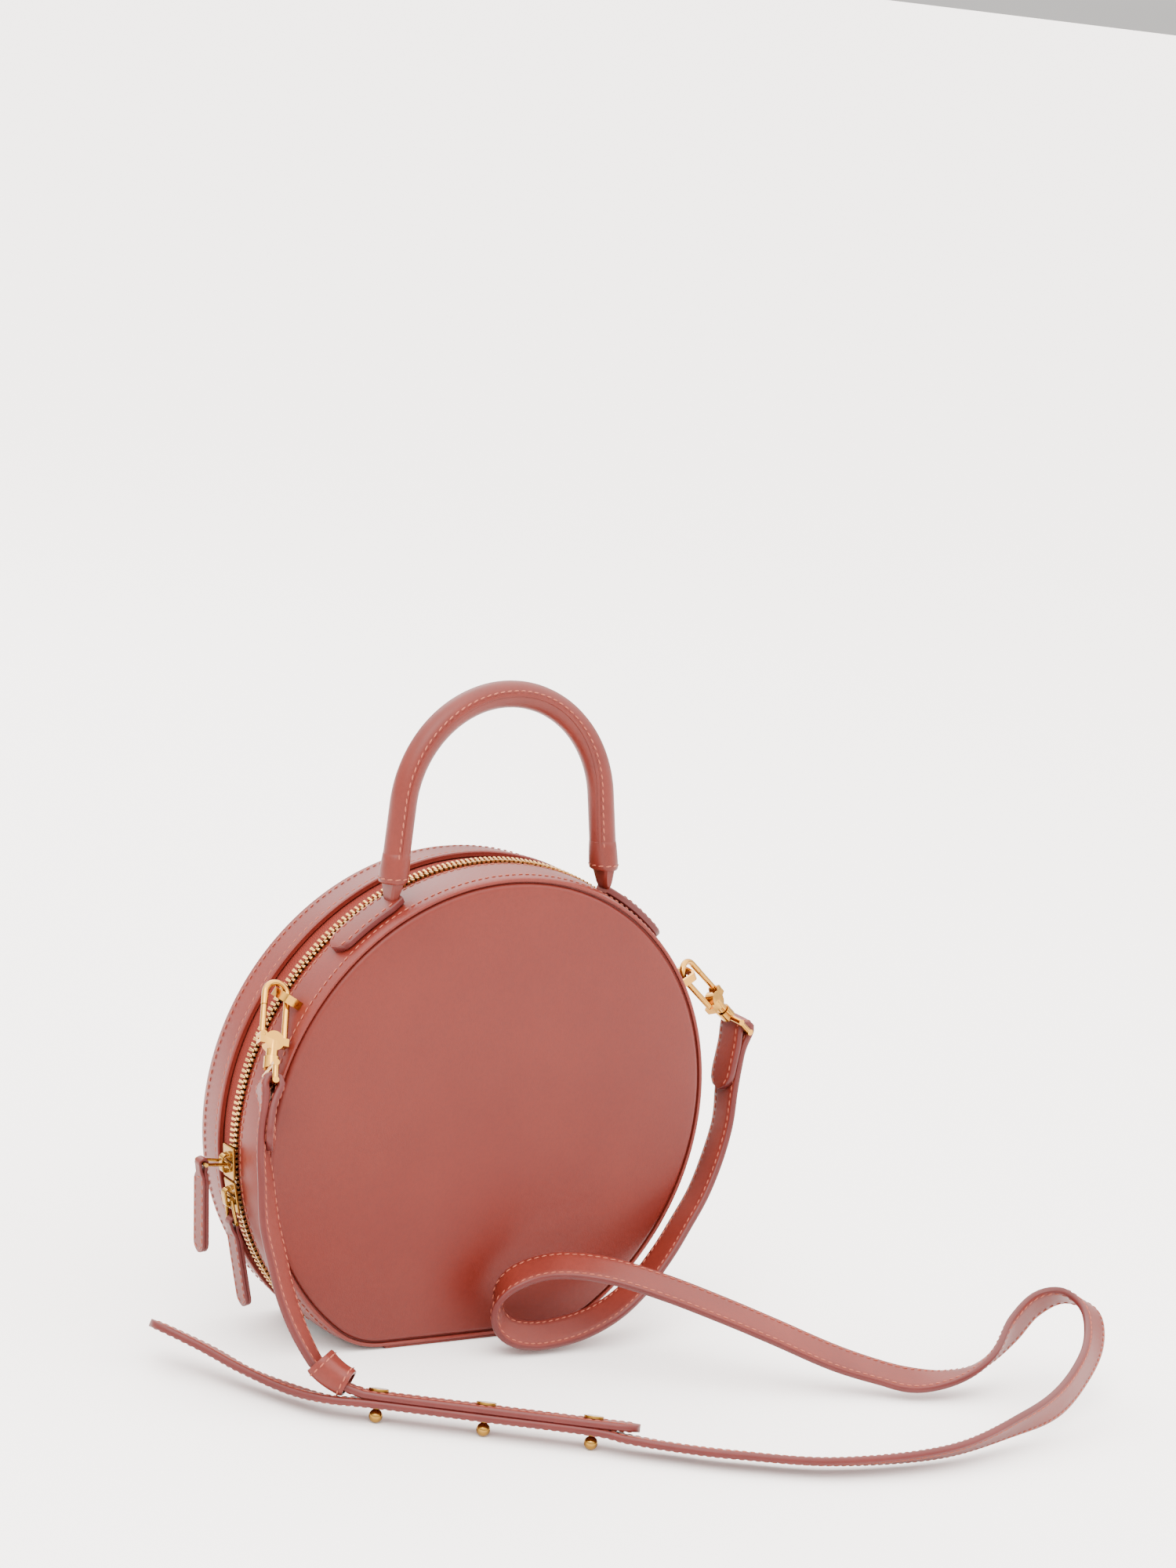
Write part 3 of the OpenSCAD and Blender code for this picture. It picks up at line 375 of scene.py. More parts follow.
def loft(rings: Sequence[Sequence[Vector]], shut: bool = True, looped: bool = False, capped: bool = False,
         paint: Sequence[int] | None = None) -> bmesh.types.BMesh:
    """Extrudes a loop of edges through a row of rings, which all have the same number of points.

    Each face also takes a place in the UV map "lay", whose first axis runs along the rings in metres.

    Args:
        rings: rings of points in millimetres.
        shut: whether each ring closes on itself.
        looped: whether the last ring is bridged to the first.
        capped: whether the two ends are filled.
        paint: the material index of each side of a ring, if not 0.

    Returns:
        The skin, in metres, with its faces pointing outwards.
    """
    bm = bmesh.new()
    lay = bm.loops.layers.uv.new("lay")
    count = len(rings[0])
    sides = count if shut else count - 1
    row = [bm.verts.new(Vector(p) * MM) for p in rings[0]]
    edges = [bm.edges.new((row[i], row[(i + 1) % count])) for i in range(sides)]
    first, ends, along = list(edges), [list(row)], 0.0
    for ring, before in zip(rings[1:], rings):
        made = bmesh.ops.extrude_edge_only(bm, edges=edges)["geom"]
        new = {v for v in made if isinstance(v, bmesh.types.BMVert)}
        faces = {f for f in made if isinstance(f, bmesh.types.BMFace)}
        fresh = []
        for old, place in zip(row, ring):
            vert = next(e.other_vert(old) for e in old.link_edges if e.other_vert(old) in new)
            vert.co = Vector(place) * MM
            fresh.append(vert)
        step = (Vector(ring[0]) - Vector(before[0])).length * MM
        across = 0.0
        for i, edge in enumerate(edges):
            face = next(f for f in edge.link_faces if f in faces)
            face.material_index = paint[i] if paint else 0
            wide = edge.calc_length()
            for corner in face.loops:
                far = corner.vert in new
                late = corner.vert in (row[(i + 1) % count], fresh[(i + 1) % count])
                corner[lay].uv = (along + step * far, across + wide * late)
            across += wide
        along += step
        row = fresh
        edges = [bm.edges.get((row[i], row[(i + 1) % count])) for i in range(sides)]
    ends.append(list(row))
    if looped:
        bmesh.ops.bridge_loops(bm, edges=first + edges)
    if capped:
        for loop in ends:
            bm.faces.new(loop)
    bmesh.ops.remove_doubles(bm, verts=bm.verts, dist=1e-7)
    bmesh.ops.recalc_face_normals(bm, faces=bm.faces)
    return bm


def flat_section(half_w: float, half_t: float, swell: float = 0.15, cut: float = 0.5) -> list[tuple[float, float]]:
    """A strap's section: two slightly full faces and two rounded painted edges.

    Args:
        half_w: half of its width in millimetres.
        half_t: half of its thickness.
        swell: how much thicker its middle is on each face.
        cut: reach of the rounding at its edges.

    Returns:
        Twelve corners, across and up. Sides 2 to 4 and 8 to 10 are its edges.
    """
    cut = min(cut, half_w * 0.45, half_t * 0.7)
    top = [(-half_w * 0.5, half_t + swell), (half_w * 0.5, half_t + swell), (half_w - cut, half_t),
           (half_w, half_t - cut), (half_w, cut - half_t), (half_w - cut, -half_t)]
    return top + [(-x, -z) for x, z in top]


STRIP_PAINT = (0, 0, 1, 1, 1, 0, 0, 0, 1, 1, 1, 0)


def smooth_way(points: Sequence[Sequence[float]], step: float) -> list[list[float]]:
    """Runs a smooth curve through rows of numbers, evenly by the first three, which are a place.

    Args:
        points: the rows.
        step: about how far apart the new rows are.

    Returns:
        The new rows.
    """
    rows = [list(points[0]), *map(list, points), list(points[-1])]
    fine: list[list[float]] = []
    for a, b, c, d in zip(rows, rows[1:], rows[2:], rows[3:]):
        count = max(1, round(math.dist(b[:3], c[:3]) / step))
        for i in range(count):
            t = i / count
            fine.append([q + 0.5 * t * (r - p + t * (2 * p - 5 * q + 4 * r - s + t * (3 * (q - r) + s - p)))
                         for p, q, r, s in zip(a, b, c, d)])
    return fine + [list(points[-1])]


def arc_strip(section: Sequence[tuple[float, float]], low: float, high: float, steps: int = 180, capped: bool = True) -> bmesh.types.BMesh:
    """Sweeps a section of radius and depth round the bag.

    Args:
        section: corners as radius and depth in millimetres.
        low: the first angle in degrees.
        high: the last angle.
        steps: how many lengths it has.
        capped: whether its ends are filled.

    Returns:
        The swept skin.
    """
    turns = [low + (high - low) * i / steps for i in range(steps + 1)]
    return loft([[round_point(t, r, y) for r, y in section] for t in turns], capped=capped)


@dataclass
class Workshop:
    """Turns meshes to named pieces that ride on the right body."""

    finishes: Finishes
    nodes: dict[str, bpy.types.Object]
    made: list[str] = field(default_factory=list)

    def publish(self, name: str, bm: bmesh.types.BMesh, finish: bpy.types.Material, body: Body, slot: Slot,
                replaces: Iterable[str] = (), sharp: float = 35.0, second: bpy.types.Material | None = None) -> bpy.types.Object:
        """Makes a piece of a mesh.

        Args:
            name: the piece's name.
            bm: its mesh, in metres in the row frame. It is freed.
            finish: its first material.
            body: the body that it rides on.
            slot: the record's slot for its finish. It is not used.
            replaces: the solids that it stands for.
            sharp: the angle in degrees past which an edge stays sharp.
            second: a second material, for faces whose material index is 1.

        Returns:
            The new object.
        """
        mesh = bpy.data.meshes.new(name)
        bm.to_mesh(mesh)
        bm.free()
        mesh.shade_smooth()
        mesh.set_sharp_from_angle(angle=math.radians(sharp))
        mesh.materials.append(finish)
        if second is not None:
            mesh.materials.append(second)
        piece = bpy.data.objects.new(name, mesh)
        bpy.context.collection.objects.link(piece)
        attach(piece, body.value)
        if replaces:
            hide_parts(*replaces)
        self.made.append(name)
        LOG.info("%s: %d faces on %s", name, len(mesh.polygons), body.value)
        return piece

    def solid(self, node: str) -> bmesh.types.BMesh:
        """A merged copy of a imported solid's mesh."""
        bm = bmesh.new()
        bm.from_mesh(self.nodes[node].data)
        bmesh.ops.remove_doubles(bm, verts=bm.verts, dist=2e-6)
        bmesh.ops.dissolve_limit(bm, angle_limit=math.radians(1.0), verts=bm.verts, edges=bm.edges)
        return bm

    def dress(self, node: str, finish: bpy.types.Material, body: Body, slot: Slot, soften: float, name: str | None = None) -> bpy.types.Object:
        """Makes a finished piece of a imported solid, with softened edges.

        Args:
            node: the solid's name.
            finish: the material.
            body: the body that it rides on.
            slot: the record's slot.
            soften: radius of the softened edges in millimetres.
            name: the piece's name, if it isn't the solid's with _finished after it.

        Returns:
            The new object.
        """
        piece = self.publish(name or f"{node}_finished", self.solid(node), finish, body, slot, (node,))
        bevel = piece.modifiers.new("softened_edges", "BEVEL")
        bevel.width = soften * MM
        bevel.segments = 3
        bevel.limit_method = "ANGLE"
        bevel.angle_limit = math.radians(32)
        bevel.harden_normals = True
        return piece


@dataclass
class Stitching:
    """Rows of saddle stitches, each a short capsule of thread that leans a little across its row."""

    shop: Workshop
    pitch: float = 3.2
    long: float = 2.35
    wide: float = 0.62
    high: float = 0.5
    lean: float = 7.0

    def unit(self) -> bpy.types.Mesh:
        """The mesh of one stitch, one unit long each way."""
        bm = bmesh.new()
        bmesh.ops.create_uvsphere(bm, u_segments=8, v_segments=5, radius=0.5)
        bmesh.ops.rotate(bm, verts=bm.verts, cent=(0, 0, 0), matrix=Matrix.Rotation(math.radians(90), 3, "Y"))
        mesh = bpy.data.meshes.new("stitch_unit")
        bm.to_mesh(mesh)
        bm.free()
        return mesh

    def sew(self, name: str, rows: Sequence[Sequence[tuple[Vector, Vector]]], body: Body) -> bpy.types.Object:
        """Lays stitches along rows.

        Args:
            name: the piece's name.
            rows: for each row, points in millimetres with the surface's outward direction there.
            body: the body that the stitches ride on.

        Returns:
            The stitches as one piece.
        """
        unit = self.unit()
        bm = bmesh.new()
        for row in rows:
            ends = [0.0]
            for a, b in zip(row, row[1:]):
                ends.append(ends[-1] + (b[0] - a[0]).length)
            count = max(1, int(ends[-1] / self.pitch))
            at = 0
            for i in range(count):
                s = (i + 0.5) * ends[-1] / count
                while at < len(row) - 2 and ends[at + 1] < s:
                    at += 1
                share = (s - ends[at]) / max(1e-6, ends[at + 1] - ends[at])
                place = row[at][0].lerp(row[at + 1][0], share)
                out = row[at][1].lerp(row[at + 1][1], share).normalized()
                way = (row[at + 1][0] - row[at][0]).normalized()
                side = out.cross(way).normalized()
                way = Matrix.Rotation(math.radians(self.lean), 3, out) @ side.cross(out).normalized()
                side = out.cross(way)
                spot = Matrix((way * self.long, side * self.wide, out * self.high)).transposed().to_4x4()
                spot = Matrix.Translation(place * MM) @ Matrix.Scale(MM, 4) @ spot
                copy = unit.copy()
                copy.transform(spot)
                bm.from_mesh(copy)
                bpy.data.meshes.remove(copy)
        bpy.data.meshes.remove(unit)
        return self.shop.publish(name, bm, self.shop.finishes.thread, body, Slot.LEATHER)


def ring(inset: float, y: float, share: float = 1.0, foot: float | None = None) -> list[Vector]:
    """The outline at one inset and depth, drawn towards the middle of the circle by a share."""
    return [Vector((x * share, y, CENTRE_Z + (z - CENTRE_Z) * share)) for x, z in outline(inset, foot)]


@dataclass
class Disc:
    """A panel, board or lining: a closed skin of rings about the circle's middle."""

    edge: float
    near: float
    far: float
    dome: float = 0.0
    roll: float = 0.9

    def skin(self) -> bmesh.types.BMesh:
        """The panel's skin. Its far face is flat, and its near face is domed and rolled over at the edge."""
        way = math.copysign(1.0, self.near - self.far)
        lip = self.near + way * self.dome * 0.12
        rings = [ring(self.edge, self.far, 0.02), ring(self.edge, self.far, 0.6), ring(self.edge, self.far)]
        for i in range(7):
            a = math.radians(90 * i / 6)
            rings.append(ring(self.edge + self.roll * (1 - math.cos(a)), lip - way * self.roll * (1 - math.sin(a))))
        for share in (0.955, 0.9, 0.82, 0.72, 0.6, 0.46, 0.32, 0.18, 0.02):
            rise = self.dome * (0.12 + 0.88 * (1 - share**4))
            rings.append(ring(self.edge + self.roll, self.near + way * rise, share))
        return loft(rings, capped=True)


@dataclass
class Shells:
    """The front shell, and the back shell that opens as a lid."""

    shop: Workshop
    sew: Stitching
    front_bulge: float = 1.3
    back_bulge: float = 0.9

    def wall(self, inner: float, ys: tuple[float, float], bulge: float, foot: float) -> bmesh.types.BMesh:
        """A shell's outer wall: a rounded rim, a wall that swells, and a turned edge by the zip.

        Args:
            inner: inset of its inner face.
            ys: depth of its rim and of its edge by the zip.
            bulge: how far it swells past the rim.
            foot: height that it stands on.

        Returns:
            The wall's skin.
        """
        rim, edge = ys
        way = math.copysign(1.0, edge - rim)
        profile = [(inner, rim + way * 0.8), (inner - 0.05, rim), (inner * 0.6, rim - way * 0.35), (0.35, rim - way * 0.25), (0.05, rim + way * 0.2)]
        for i in range(1, 9):
            share = i / 9
            profile.append((-bulge * math.sin(share * math.pi * 0.62), rim + (edge - rim) * share))
        profile += [(-bulge * 0.86, edge - way * 0.5), (-bulge * 0.6, edge), (0.2, edge + way * 0.05), (inner * 0.6, edge - way * 0.3), (inner, edge - way * 1.2)]
        return loft([ring(i, y, foot=foot) for i, y in profile], looped=True)

    def pan(self, inset: float, ys: tuple[float, float], wall: float) -> bmesh.types.BMesh:
        """A lining: a flat bottom with a turned-up rim.

        Args:
            inset: inset of its outside.
            ys: depth of its bottom's outside and of its rim.
            wall: its thickness.

        Returns:
            The lining's skin.
        """
        low, top = ys
        way = math.copysign(1.0, top - low)
        floor = low + way * wall
        return loft([ring(inset, low, 0.02), ring(inset, low), ring(inset, top), ring(inset + wall, top), ring(inset + wall, floor + way * 1.5),
                     ring(inset + wall + 0.5, floor + way * 0.4), ring(inset + wall + 1.8, floor), ring(inset + wall, floor, 0.5), ring(inset, floor, 0.02)],
                    capped=True)

    def row(self, bulge: float, y: float, low: float, high: float) -> list[tuple[Vector, Vector]]:
        """A stitch row round the bag, between two angles, at a depth and a swell."""
        turns = [low + (high - low) * i / 240 for i in range(241)]
        return [(round_point(t, RIM_R + bulge + 0.12, y), Vector((math.cos(math.radians(t)), 0, math.sin(math.radians(t))))) for t in turns]

    def build(self) -> None:
        """Builds both shells."""
        shop, paint = self.shop, self.shop.finishes
        shop.publish("front_face", Disc(2.3, -27.0, -24.6, 2.4, 2.1).skin(), paint.panel, Body.SHELL, Slot.LEATHER, ("front_panel",))
        shop.publish("front_stiffener", Disc(2.0, -24.4, -21.9, roll=0.2).skin(), paint.board, Body.SHELL, Slot.BOARD, ("front_board",))
        groove = loft([ring(i, y, foot=STRIP_T) for i, y in ((1.5, -25.3), (1.5, -24.7), (3.0, -24.7), (3.0, -25.3))], looped=True)
        shop.publish("front_groove", groove, paint.groove, Body.SHELL, Slot.LEATHER)
        gusset = self.wall(1.6, (-26.5, -7.0), self.front_bulge, STRIP_T)
        shop.publish("front_gusset_skin", gusset, paint.gusset, Body.SHELL, Slot.LEATHER, ("front_gusset",))
        shop.publish("front_suede", self.pan(0.95, (-21.7, -14.6), 0.8), paint.suede, Body.SHELL, Slot.SUEDE, ("front_lining",))
        foot = bmesh.new()
        bmesh.ops.create_cube(foot, size=1.0, matrix=Matrix.Translation((0, 0.25 * MM, STRIP_T / 2 * MM)) @ Matrix.Diagonal((76 * MM, 52.5 * MM, STRIP_T * MM, 1)))
        bmesh.ops.bevel(foot, geom=foot.edges[:], offset=0.35 * MM, segments=3, profile=0.5, affect="EDGES", material=-1)
        shop.publish("base_skin", foot, paint.trim, Body.SHELL, Slot.LEATHER, ("base_strip",))
        back = self.wall(1.1, (26.5, 8.8), self.back_bulge, 1.5)
        shop.publish("back_band_skin", back, paint.gusset, Body.LID, Slot.LEATHER, ("back_band",))
        lip = [(105.4, 11.8), (106.2, 11.6), (106.75, 11.1), (106.95, 10.2), (106.85, 9.2), (106.4, 8.8), (105.2, 8.8)]
        shop.publish("back_band_lip", arc_strip(lip, ZIP_LOW, 180 - ZIP_LOW), paint.gusset, Body.LID, Slot.LEATHER)
        shop.publish("back_suede", self.pan(1.25, (21.8, 15.6), 0.8), paint.suede, Body.LID, Slot.SUEDE, ("back_lining",))
        shop.publish("back_stiffener", Disc(1.3, 24.4, 21.9, roll=0.2).skin(), paint.board, Body.LID, Slot.BOARD, ("back_board",))
        shop.publish("back_face", Disc(1.4, 26.9, 24.6, 2.4, 2.0).skin(), paint.panel, Body.LID, Slot.LEATHER, ("back_panel",))
        whole = (LOW_TURN + 1.0, 179.0 - LOW_TURN)
        front_rows = [self.row(self.front_bulge * 0.42, -22.9, *whole), self.row(self.front_bulge * 0.98, -8.9, *whole)]
        self.sew.sew("front_gusset_stitches", front_rows, Body.SHELL)
        back_rows = [self.row(1.5, 12.6 - 0.9, ZIP_LOW, 180 - ZIP_LOW), self.row(self.back_bulge * 0.5, 23.4, *whole)]
        self.sew.sew("back_band_stitches", back_rows, Body.LID)


@dataclass
class Zip:
    """The two-way zip: tapes, two rows of teeth, stops, sliders and their pull wires."""

    shop: Workshop
    pitch: float = 2.2
    tooth_w: float = 1.25
    head_w: float = 0.85

    def teeth(self, root: float, head: float, shift: float) -> bmesh.types.BMesh:
        """One row of teeth.

        Args:
            root: depth of the teeth's roots on the tape.
            head: depth of their heads.
            shift: share of a pitch that the row is moved along by.

        Returns:
            The row.
        """
        row = bmesh.new()
        span = math.radians(180 - 2 * ZIP_LOW)
        count = int(span * 105.4 / self.pitch)
        for i in range(count - 1):
            turn = math.radians(ZIP_LOW) + span * (i + 0.5 + shift) / count
            where = Matrix.Translation(Vector((0, 0, CENTRE_Z * MM))) @ Matrix.Rotation(-turn, 4, "Y")
            size = Matrix.Diagonal((3.2 * MM, abs(head - root) * MM, self.tooth_w * MM, 1))
            made = bmesh.ops.create_cube(row, size=1.0, matrix=where @ Matrix.Translation((105.7 * MM, (head + root) / 2 * MM, 0)) @ size)["verts"]
            tips = [v for v in made if abs(v.co.y / MM - head) < 0.01]
            centre = sum((v.co for v in tips), Vector()) / len(tips)
            bmesh.ops.scale(row, verts=tips, vec=(1, 1, 1), space=Matrix.Translation(-centre))
            for v in tips:
                v.co = centre + (v.co - centre) * (self.head_w / self.tooth_w)
        bmesh.ops.bevel(row, geom=row.edges[:], offset=0.22 * MM, segments=1, profile=0.5, affect="EDGES", material=-1)
        return row

    def build(self) -> None:
        """Builds the zip."""
        shop, paint = self.shop, self.shop.finishes
        bead = 180 - ZIP_LOW
        front = [(103.3, -14.5), (104.1, -14.5), (104.1, -8.6), (105.5, -7.2), (105.9, -6.3), (105.6, -5.5), (103.3, -5.5)]
        back = [(103.0, 15.5), (103.8, 15.5), (103.8, 10.0), (104.6, 7.4), (105.2, 3.0), (105.6, -0.6), (105.7, -1.5), (105.3, -1.9), (103.0, -1.9)]
        shop.publish("front_tape", arc_strip(front, ZIP_LOW, bead), paint.tape, Body.SHELL, Slot.TAPE, ("zip_tape_front",))
        shop.publish("back_tape", arc_strip(back, ZIP_LOW, bead), paint.tape, Body.LID, Slot.TAPE, ("zip_tape_back",))
        shop.publish("front_teeth", self.teeth(-6.4, -3.45, 0.0), paint.tooth, Body.SHELL, Slot.ZIP, ("zip_teeth_front",))
        shop.publish("back_teeth", self.teeth(-1.0, -3.95, 0.5), paint.tooth, Body.LID, Slot.ZIP, ("zip_teeth_back",))
        shop.dress("zip_stops", paint.brass, Body.SHELL, Slot.ZIP, 0.3)
        for side, slider, link in (("upper", Body.UPPER_SLIDER, Body.UPPER_LINK), ("lower", Body.LOWER_SLIDER, Body.LOWER_LINK)):
            shop.dress(f"{side}_slider", paint.brass, slider, Slot.ZIP, 0.35)
            shop.dress(f"{side}_link", paint.brass, link, Slot.ZIP, 0.12)


@dataclass
class PullTabs:
    """The two leather pull tabs, each a strip folded round its wire and stitched together."""

    shop: Workshop
    sew: Stitching
    long: float = 38.0
    half_w: float = 4.2
    eye_w: float = 2.1
    leaf: float = 1.34

    def half_width(self, a: float) -> float:
        """Half of the strip's width at a distance from the wire: narrow at the eye, round at the tip."""
        if a > self.long - self.half_w:
            return math.sqrt(max(0.02, self.half_w**2 - (a - self.long + self.half_w) ** 2))
        share = min(1.0, max(0.0, (a - 3.2) / 4.0))
        return self.eye_w + (self.half_w - self.eye_w) * share * share * (3 - 2 * share)

    def tab(self, side: str, body: Body, bar: Vector, way: Vector, across: Vector) -> None:
        """Builds one tab with its stitches.

        Args:
            side: upper or lower.
            body: the tab's body.
            bar: centre of the wire that it hangs on.
            way: direction that it points in.
            across: direction of its width.
        """
        way = way.normalized()
        out = way.cross(across).normalized()
        across = out.cross(way).normalized()
        runs = [(self.long - d, 0.72) for d in (0.0, 0.25, 0.8, 1.7, 2.8, 4.2)] + [(self.long - 4.2 - 4.4 * i, 0.72) for i in range(1, 7)]
        runs += [(5.6, 0.74), (4.0, 0.9), (2.6, 1.2)]
        curl = [(1.55 * math.cos(math.radians(a)), 1.55 * math.sin(math.radians(a))) for a in range(60, 181, 15)]
        flat = runs + curl
        flat += [(a, -h) for a, h in reversed(flat[:-1])]
        rings = []
        for i, (a, h) in enumerate(flat):
            ahead = Vector(flat[min(i + 1, len(flat) - 1)]) - Vector(flat[max(i - 1, 0)])
            up = (out * ahead[0] - way * ahead[1]).normalized()
            rings.append([bar + way * a + out * h + across * x + up * z for x, z in flat_section(self.half_width(a), self.leaf / 2, 0.03, 0.3)])
        skin = loft(rings, capped=True, paint=STRIP_PAINT)
        self.shop.publish(f"{side}_tab_leather", skin, self.shop.finishes.trim, body, Slot.LEATHER, (f"{side}_tab",), second=self.shop.finishes.edge)
        trail = [(6.0 + (self.long - 6.0 - 1.3) * i / 24) for i in range(25)]
        rows = []
        for face in (1, -1):
            lift = out * face * (0.72 + self.leaf / 2 + 0.08)
            for edge in (1, -1):
                rows.append([(bar + way * a + across * edge * max(0.3, self.half_width(min(a + 0.9, self.long)) - 1.25) + lift, out * face) for a in trail])
            rows.append([(bar + way * 6.0 + across * x + lift, out * face) for x in (-2.6, 2.6)])
        self.sew.sew(f"{side}_tab_stitches", rows, body)

    def build(self) -> None:
        """Builds both tabs."""
        for side, turn, body, bar, lean in (("upper", 188.0, Body.UPPER_TAB, Vector((-120.1, ZIP_Y, 78.6)), 0.03),
                                            ("lower", 195.7, Body.LOWER_TAB, Vector((-103.2, ZIP_Y, 52.6)), 0.0)):
            a = math.radians(turn)
            radial = Vector((math.cos(a), 0, math.sin(a)))
            along = Vector((-math.sin(a), 0, math.cos(a)))
            self.tab(side, body, bar, along + radial * lean, Vector((0, 1, 0)))


@dataclass
class Handle:
    """The rolled handle, its cuffs and necks, and the two tabs sewn to the front shell."""

    shop: Workshop
    sew: Stitching
    roll_r: float = 5.5
    arc_r: float = 47.5
    arc_z: float = 33.19
    start: float = 6.0
    tab_y: float = FRONT + 11.2
    frame: Matrix = field(default_factory=lambda: Matrix.Translation((-2.5, HANDLE_Y, NECK_Z)) @ Matrix.Rotation(math.radians(-1.6), 4, "Y")
                          @ Matrix.Rotation(math.radians(-5.5), 4, "X"))

    def spine(self) -> list[tuple[Vector, Vector]]:
        """The roll's centre line as places and outward directions, from the right cuff to the left one."""
        a = math.radians(self.start)
        end = Vector((self.arc_r * math.cos(a), 0, self.arc_z + self.arc_r * math.sin(a)))
        foot = Vector((NECK_X, 0, 0))
        leg = [(foot.lerp(end, 0.24 + 0.76 * i / 6), Vector((math.cos(a), 0, math.sin(a)))) for i in range(6)]
        arc = []
        for i in range(73):
            t = math.radians(self.start + (180 - 2 * self.start) * i / 72)
            out = Vector((math.cos(t), 0, math.sin(t)))
            arc.append((out * self.arc_r + Vector((0, 0, self.arc_z)), out))
        flip = [(Vector((-p.x, 0, p.z)), Vector((-o.x, 0, o.z))) for p, o in reversed(leg)]
        return leg + arc + flip

    def leg(self, side: int, height: float) -> Vector:
        """A point on a leg's centre line, by its height above the pivot."""
        a = math.radians(self.start)
        return Vector((side * (NECK_X - height * math.sin(a)), 0, height * math.cos(a)))

    def tab(self, side: int) -> None:
        """Builds one handle tab, which lies on the gusset, with its row of stitches."""
        name = "right" if side > 0 else "left"
        low, high = 44.05, 63.4 if side > 0 else 62.3
        rings, rows = [], ([], [])
        for i in range(31):
            turn = low + (high - low) * i / 30
            far = math.radians(turn - low) * 107.6
            half = 6.3 * math.sqrt(max(0.02, 1 - (1 - min(1.0, far / 6.6)) ** 2))
            half -= 2.2 * max(0.0, (turn - 58.3) / (high - 58.3)) ** 1.5
            centre, out = self.place(side, turn, 107.85)
            rings.append([centre + Vector((0, x, 0)) + out * z for x, z in flat_section(half, 1.45, 0.2, 0.5)])
            if 1.4 < far < 30:
                for row, way in zip(rows, (1, -1)):
                    row.append((centre + Vector((0, way * max(0.4, half - 1.5), 0)) + out * 1.7, out))
        finishes = self.shop.finishes
        self.shop.publish(f"handle_tab_{name}_leather", loft(rings, capped=True, paint=STRIP_PAINT), finishes.trim, Body.SHELL, Slot.LEATHER,
                          (f"handle_tab_{name}",), second=finishes.edge)
        self.sew.sew(f"handle_tab_{name}_stitches", rows, Body.SHELL)

    def place(self, side: int, turn: float, r: float) -> tuple[Vector, Vector]:
        """A point of the round and its outward direction, on one side."""
        at = round_point(turn, r, self.tab_y)
        out = Vector((math.cos(math.radians(turn)), 0, math.sin(math.radians(turn))))
        return (at, out) if side > 0 else (Vector((-at.x, at.y, at.z)), Vector((-out.x, 0, out.z)))

    def build(self) -> None:
        """Builds the handle."""
        shop, paint = self.shop, self.shop.finishes
        line = self.spine()
        around = [math.radians(360 * i / 28) for i in range(28)]
        depth = Vector((0, 1, 0))
        roll = loft([[self.frame @ (p + (o * math.cos(a) + depth * math.sin(a)) * self.roll_r) for a in around] for p, o in line], capped=True)
        shop.publish("handle_roll_leather", roll, paint.trim, Body.HANDLE, Slot.LEATHER, ("handle_roll",))
        core = loft([[self.frame @ (p + (o * math.cos(a) + depth * math.sin(a)) * 3.9) for a in around[::2]] for p, o in line], capped=True)
        shop.publish("handle_filler", core, paint.filler, Body.HANDLE, Slot.CORE, ("handle_core",))
        seam, lap = [], []
        for i, (p, o) in enumerate(line):
            share = min(1.0, max(0.0, i / (len(line) - 1) * 2.2))
            turn = math.radians(243 + 47 * share * share * (3 - 2 * share))
            out = o * math.cos(turn) + depth * math.sin(turn)
            seam.append((self.frame @ (p + out * (self.roll_r + 0.1)), self.frame.to_3x3() @ out))
            low = turn - math.radians(17)
            rest = o * math.cos(low) + depth * math.sin(low)
            side = o.cross(depth).cross(rest)
            lap.append([self.frame @ (p + rest * (self.roll_r + 0.42 * math.cos(a)) + side * 0.8 * math.sin(a)) for a in around[::4]])
        shop.publish("handle_seam_lap", loft(lap, capped=True), paint.trim, Body.HANDLE, Slot.LEATHER)
        rows = [seam]
        cuffs, necks = bmesh.new(), bmesh.new()
        for side in (1, -1):
            rings = []
            for height, wide, deep in ((6.4, 3.0, 5.0), (6.5, 4.9, 6.0), (7.1, 5.7, 6.35), (8.4, 5.9, 6.4), (10.2, 6.0, 6.3), (12.5, 6.0, 6.1), (16.0, 5.8, 5.9), (18.4, 5.62, 5.62), (18.8, 5.3, 5.3)):
                rings.append([self.frame @ (self.leg(side, height) + Vector((wide * math.cos(a), deep * math.sin(a), 0))) for a in around])
            self.join(cuffs, loft(rings, capped=True))
            band = [(self.frame @ (self.leg(side, 8.6) + Vector((6.0 * math.cos(a), 6.48 * math.sin(a), 0))),
                     self.frame.to_3x3() @ Vector((math.cos(a), math.sin(a), 0))) for a in around + around[:1]]
            rows.append(band)
            rings = []
            for height, wide, deep in ((9.0, 2.5, 5.3), (6.0, 2.5, 5.1), (3.5, 2.3, 4.4), (1.2, 2.0, 3.9), (-0.6, 1.5, 3.5), (-1.5, 0.8, 3.0)):
                rings.append([self.frame @ (self.leg(side, height) + Vector((z, x, 0))) for x, z in flat_section(deep, wide, 0.15, 0.9)])
            self.join(necks, loft(rings, capped=True))
        shop.publish("handle_cuff_leather", cuffs, paint.trim, Body.HANDLE, Slot.LEATHER, ("handle_cuffs",))
        shop.publish("handle_neck_leather", necks, paint.trim, Body.HANDLE, Slot.EDGE, ("handle_necks",))
        self.sew.sew("handle_stitches", rows, Body.HANDLE)
        for side in (1, -1):
            self.tab(side)

